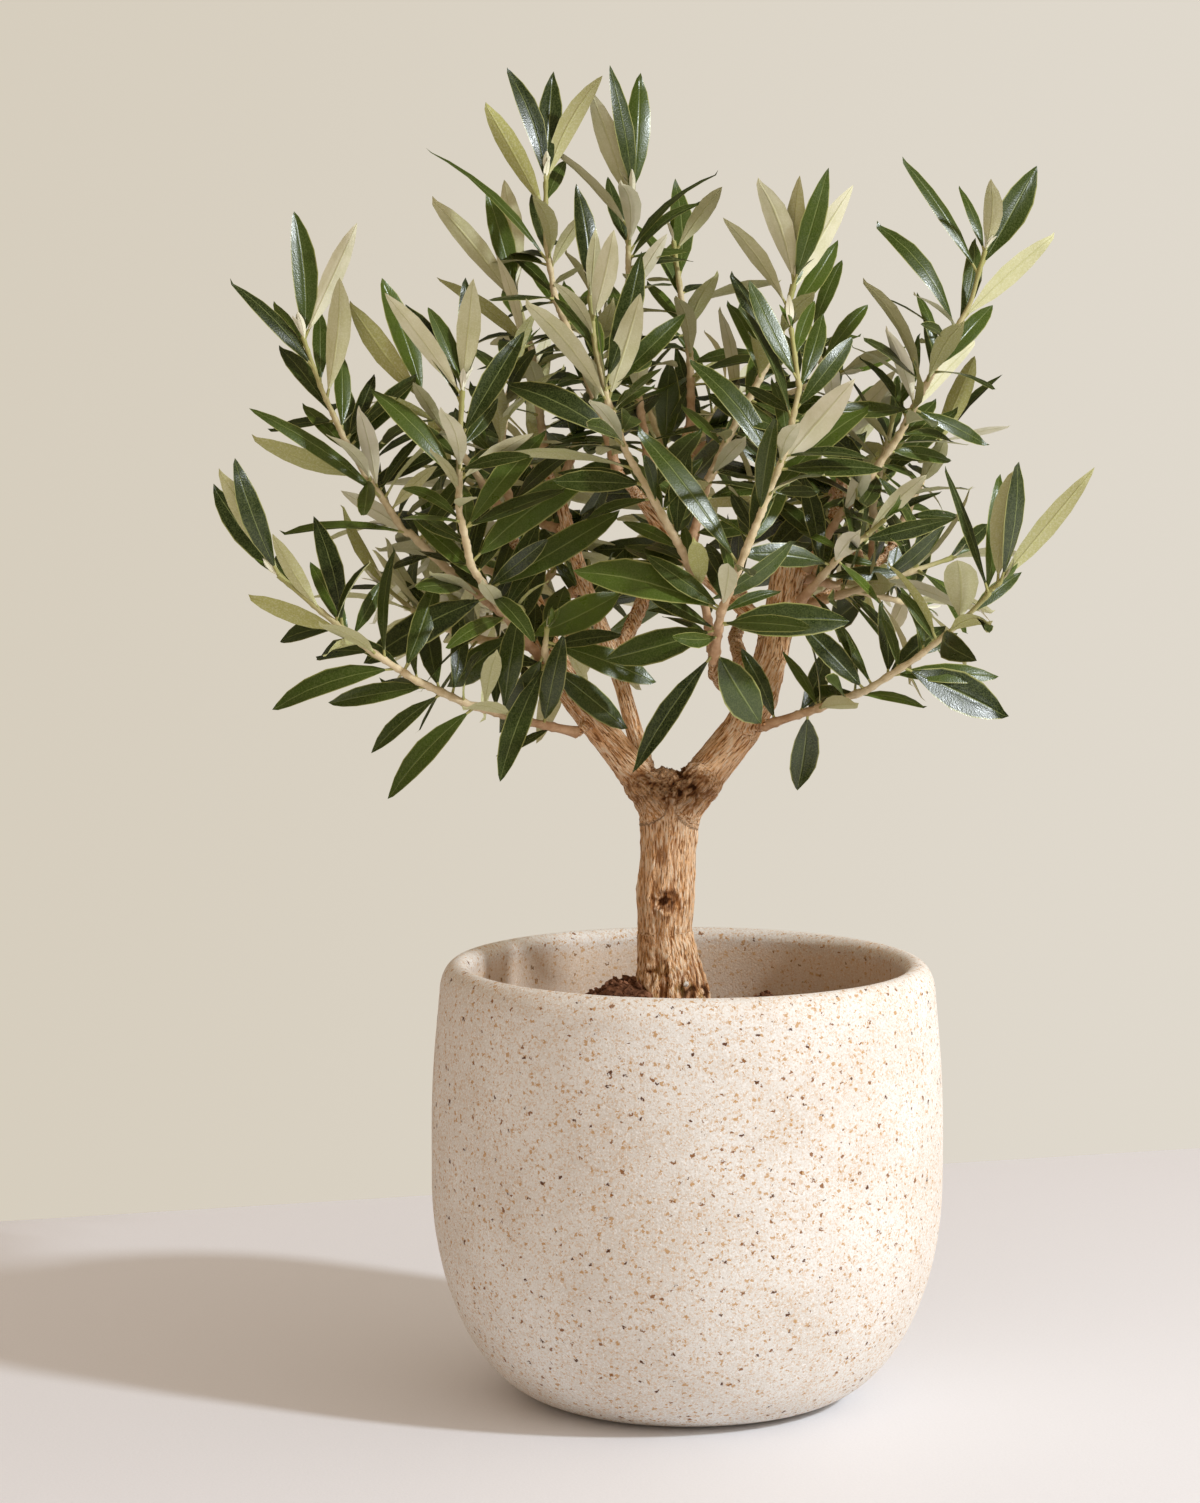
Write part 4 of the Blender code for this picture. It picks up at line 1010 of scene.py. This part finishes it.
def leaf_coordinates(tree):
    """The distance from the midrib as a share of the half width, and the leaf's tone."""
    across = node(tree, "SeparateXYZ", {"Vector": node(tree, "UVMap", uv_map="UVMap").outputs["UV"]})
    off_middle = maths(tree, "ABSOLUTE", maths(tree, "SUBTRACT", across.outputs["X"], 0.5))
    tone = attribute(tree, "tone")
    return maths(tree, "MULTIPLY", off_middle, 2.0), tone


leaf_upper, tree, shader, place = new_material("olive_leaf_upper")
from_rib, tone = leaf_coordinates(tree)
mottle = noise_node(tree, place, 160, 4)
pebbles = node(tree, "TexVoronoi", {"Vector": place, "Scale": 1700.0}).outputs["Distance"]
green = coated(tree, mixed(tree, tone, DARK_GREEN, LIGHT_GREEN), [
    (mottle, 0.30, 0.75, 0.30, (0.050, 0.068, 0.005, 1)),
    (pebbles, 0.30, 0.75, 0.26, (0.160, 0.190, 0.060, 1)),
    (from_rib, 0.060, 0.012, 0.42, (0.340, 0.390, 0.130, 1)),
    (from_rib, 0.88, 1.00, 0.75, (0.460, 0.460, 0.150, 1)),
])
set_surface(tree, shader, green, ramp(tree, mottle, 0.3, 0.7, 0.26, 0.36), 0.5)
sunken_rib = ramp(tree, from_rib, 0.14, 0.0)
bumped(tree, shader, weighted(tree, [(pebbles, 0.34), (sunken_rib, -1.0)]), 0.00030, 0.42)

# %% Under side of the leaves
GREY_GREEN, SILVER = (0.440, 0.440, 0.150, 1), (0.980, 0.950, 0.790, 1)

leaf_under, tree, shader, place = new_material("olive_leaf_underside")
from_rib, tone = leaf_coordinates(tree)
scales = noise_node(tree, place, 1500, 3)
cloud = noise_node(tree, place, 120, 3)
silver = coated(tree, mixed(tree, tone, GREY_GREEN, SILVER), [
    (cloud, 0.30, 0.75, 0.30, (0.430, 0.440, 0.140, 1)),
    (scales, 0.40, 0.70, 0.24, (0.880, 0.890, 0.740, 1)),
    (from_rib, 0.08, 0.02, 0.50, (0.520, 0.520, 0.200, 1)),
])
set_surface(tree, shader, silver, 0.66, 0.15)
raised_rib = ramp(tree, from_rib, 0.16, 0.0)
bumped(tree, shader, weighted(tree, [(scales, 0.2), (raised_rib, 1.0)]), 0.00035, 0.6)

# %% Twig and stalk
FRESH_GREEN = (0.370, 0.360, 0.120, 1)

twig_skin, tree, shader, place = new_material("young_olive_twig")
youth = attribute(tree, "youth")
ringed = ramp(tree, noise_node(tree, place, 300, 4), 0.3, 0.7)
old = mixed(tree, ringed, (0.420, 0.235, 0.120, 1), (0.600, 0.390, 0.230, 1))
cream = mixed(tree, ringed, (0.600, 0.480, 0.270, 1), (0.760, 0.640, 0.420, 1))
skin_tone = coated(tree, old, [(youth, 0.05, 0.45, 1.0, cream), (youth, 0.62, 1.0, 1.0, FRESH_GREEN)])
set_surface(tree, shader, skin_tone, 0.6, 0.4)
bumped(tree, shader, noise_node(tree, place, 900, 3), 0.00025, 0.6)

# %% [markdown]
# ## Putting a shoot together
# Each shoot is one piece: its twig, its leaves, the tiny leaves that a growing tip always has, and
# the small shaded leaves of the crown's inside. Those aren't in the solid, because they would crowd
# it. They are drawn by a seeded rule along the lower part of the twig, and they point inwards and to
# the back. Their tone is lowered as painted shade. Leaves follow the light: every blade is turned a
# little towards the lamp. The twig starts a few millimetres inside the bark, so that it grows out of
# the wood.

# %% Leaves of the crown's inside
INNER_LEAF_STEP = 4.8
INNER_LEAF_LENGTHS, INNER_LEAF_WIDTHS = (24, 43), (0.20, 0.28)
CROWN_MIDDLE = np.array([-8.0, 24.0, 330.0])
LOWEST_TIP = 285.0


def inner_leaves(line, travelled, draw):
    """Leaves at even steps up to 0.8 of the twig: foot, tip, upper side and width.

    A leaf's way is the unit sum of the twig's own way, a random sideways direction, and a pull
    towards the crown's middle and mostly away from its front. Leaves that hang too low are left out.
    """
    spots = np.arange(5.0, travelled[-1] * 0.80, INNER_LEAF_STEP)
    index = np.searchsorted(travelled, spots + draw.uniform(-2, 2, len(spots))).clip(1, len(line) - 2)
    foot = line[index]
    way = unit(line[index + 1] - line[index - 1])
    side = unit(np.cross(way, draw.normal(size=(len(foot), 3))))
    inward = unit(CROWN_MIDDLE - foot)
    lean = way * 0.45 + side * 0.9 + inward * 0.35
    lean[:, 1] += draw.uniform(-0.3, 0.8, len(foot))
    size = draw.uniform(*INNER_LEAF_LENGTHS, len(foot))
    upper = draw.normal(0, 0.4, (len(foot), 3)) - inward * 0.6 + np.array([0, -0.3, 0.5])
    tip = foot + unit(lean) * size[:, None]
    width = size * draw.uniform(*INNER_LEAF_WIDTHS, len(foot))
    return [leaf for leaf in zip(foot, tip, upper, width) if leaf[1][2] > LOWEST_TIP]


# %% Leaves of a growing tip
BUD_LEAVES = 4
BUD_LEAF_WIDTH = 0.24
BUD_STEP = 0.6


def bud_leaves(line, draw):
    """Tiny leaves that stand close round the twig's end: foot, tip, upper side and width."""
    way = unit(line[-1] - line[-6])
    made = []
    for number in range(BUD_LEAVES):
        side = unit(np.cross(way, draw.normal(size=3)))
        lean = unit(way + side * draw.uniform(0.12, 0.55))
        size = draw.uniform(6.0, 13.0)
        foot = line[-1] - way * BUD_STEP * number
        made.append((foot, line[-1] + lean * size, -side, size * BUD_LEAF_WIDTH))
    return made


# %% Twig of a shoot
IN_BARK = 2.5
SWELLING, SWELLING_REACH = 0.45, 1.1
FLARE, FLARE_REACH = 0.9, 4
FOOT_SHARE, TIP_SHARE = 0.95, 0.72


def twig_line(path):
    """The smooth middle line, begun a little inside the bark, and the way travelled along it."""
    path = np.vstack([path[0] + unit(path[0] - path[1]) * IN_BARK, path])
    line = smooth_line(path, TWIG_STEP)
    return line, np.concatenate([[0], np.cumsum(np.linalg.norm(np.diff(line, axis=0), axis=1))])


def twig_radius(line, travelled, thickness, foot):
    """Falls evenly along the twig, swells by a bell curve at each leaf and by exp(-s / 4) at the bark."""
    share = travelled / travelled[-1]
    at = travelled[np.argmin(np.linalg.norm(foot[:, None] - line, axis=2), axis=1)]
    swelling = SWELLING * bell((travelled[:, None] - at) / SWELLING_REACH).max(axis=1)
    radius = np.interp(share, [0, 1], [max(thickness) * FOOT_SHARE, min(thickness) * TIP_SHARE])
    return radius + swelling * (1 - 0.5 * share) + FLARE * np.exp(-travelled / FLARE_REACH)


# %% Shoots
SUNWARDS = np.array([0.26, -0.06, 0.22])
INSIDE = 95.0
SHOWN_BACK_SHARE = 0.2
SHADED_TONE, BUD_TONE = 0.6, 0.9
STALK_YOUTH = 0.95
CREASE = math.radians(70)


def shoot_piece(name, shoot, draw):
    """The twig's tube and all its leaves in one mesh, with each leaf's tone and the twig's youth."""
    line, travelled = twig_line(shoot["path"])
    grown = len(shoot["blades"])
    blades = shoot["blades"] + inner_leaves(line, travelled, draw) + bud_leaves(line, draw)
    foot, tip, upper, width = (np.array(column) for column in zip(*blades))
    inside = np.linalg.norm(tip - CROWN_MIDDLE, axis=1) < INSIDE
    inside[:grown] &= "back" in name
    turned = inside & (upper[:, 1] > 0.1) & (draw.random(len(tip)) < 1 - SHOWN_BACK_SHARE)
    upper = np.where(turned[:, None], -upper, upper) + SUNWARDS

    radius = twig_radius(line, travelled, shoot["thickness"], foot)
    points, faces = tube(line, radius, TWIG_SIDES)
    surfaces, uv = leaf_surfaces(foot, tip, upper, width, draw)
    leaf_points = np.concatenate([surfaces, tip[:, None]], axis=1)
    leaf_uv = np.concatenate([uv, np.tile([0.5, 1.0], (len(foot), 1, 1))], axis=1)
    size = leaf_points.shape[1]
    starts = range(len(points), len(points) + len(foot) * size, size)
    all_faces = faces + [[corner + start for corner in face] for start in starts for face in leaf_faces]

    leaf_tone = np.clip(draw.normal(0.36, 0.27, len(foot)), 0, 1)
    # Painted shade: the leaves of the crown's inside get a lower tone, which paints both their sides
    # darker.
    leaf_tone[grown:] *= SHADED_TONE
    leaf_tone[-BUD_LEAVES:] = BUD_TONE
    youth = np.repeat(travelled / travelled[-1], TWIG_SIDES)
    piece = surface_piece(
        name.replace("shoot", "leafy_shoot"), np.vstack([points, leaf_points.reshape(-1, 3)]), all_faces,
        [leaf_upper, leaf_under, twig_skin], name,
        uv=np.vstack([np.zeros((len(points), 2)), leaf_uv.reshape(-1, 2)]),
        values={"tone": np.concatenate([np.zeros(len(points)), np.repeat(leaf_tone, size)]),
                "youth": np.concatenate([youth, np.full(len(foot) * size, STALK_YOUTH)])},
        sides=[STALK] * len(faces) + leaf_sides * len(foot))
    piece.data.set_sharp_from_angle(angle=CREASE)


for number, (name, shoot) in enumerate(shoots.items()):
    shoot_piece(name, shoot, np.random.default_rng(700 + number))
print("shoots made:", len(shoots))
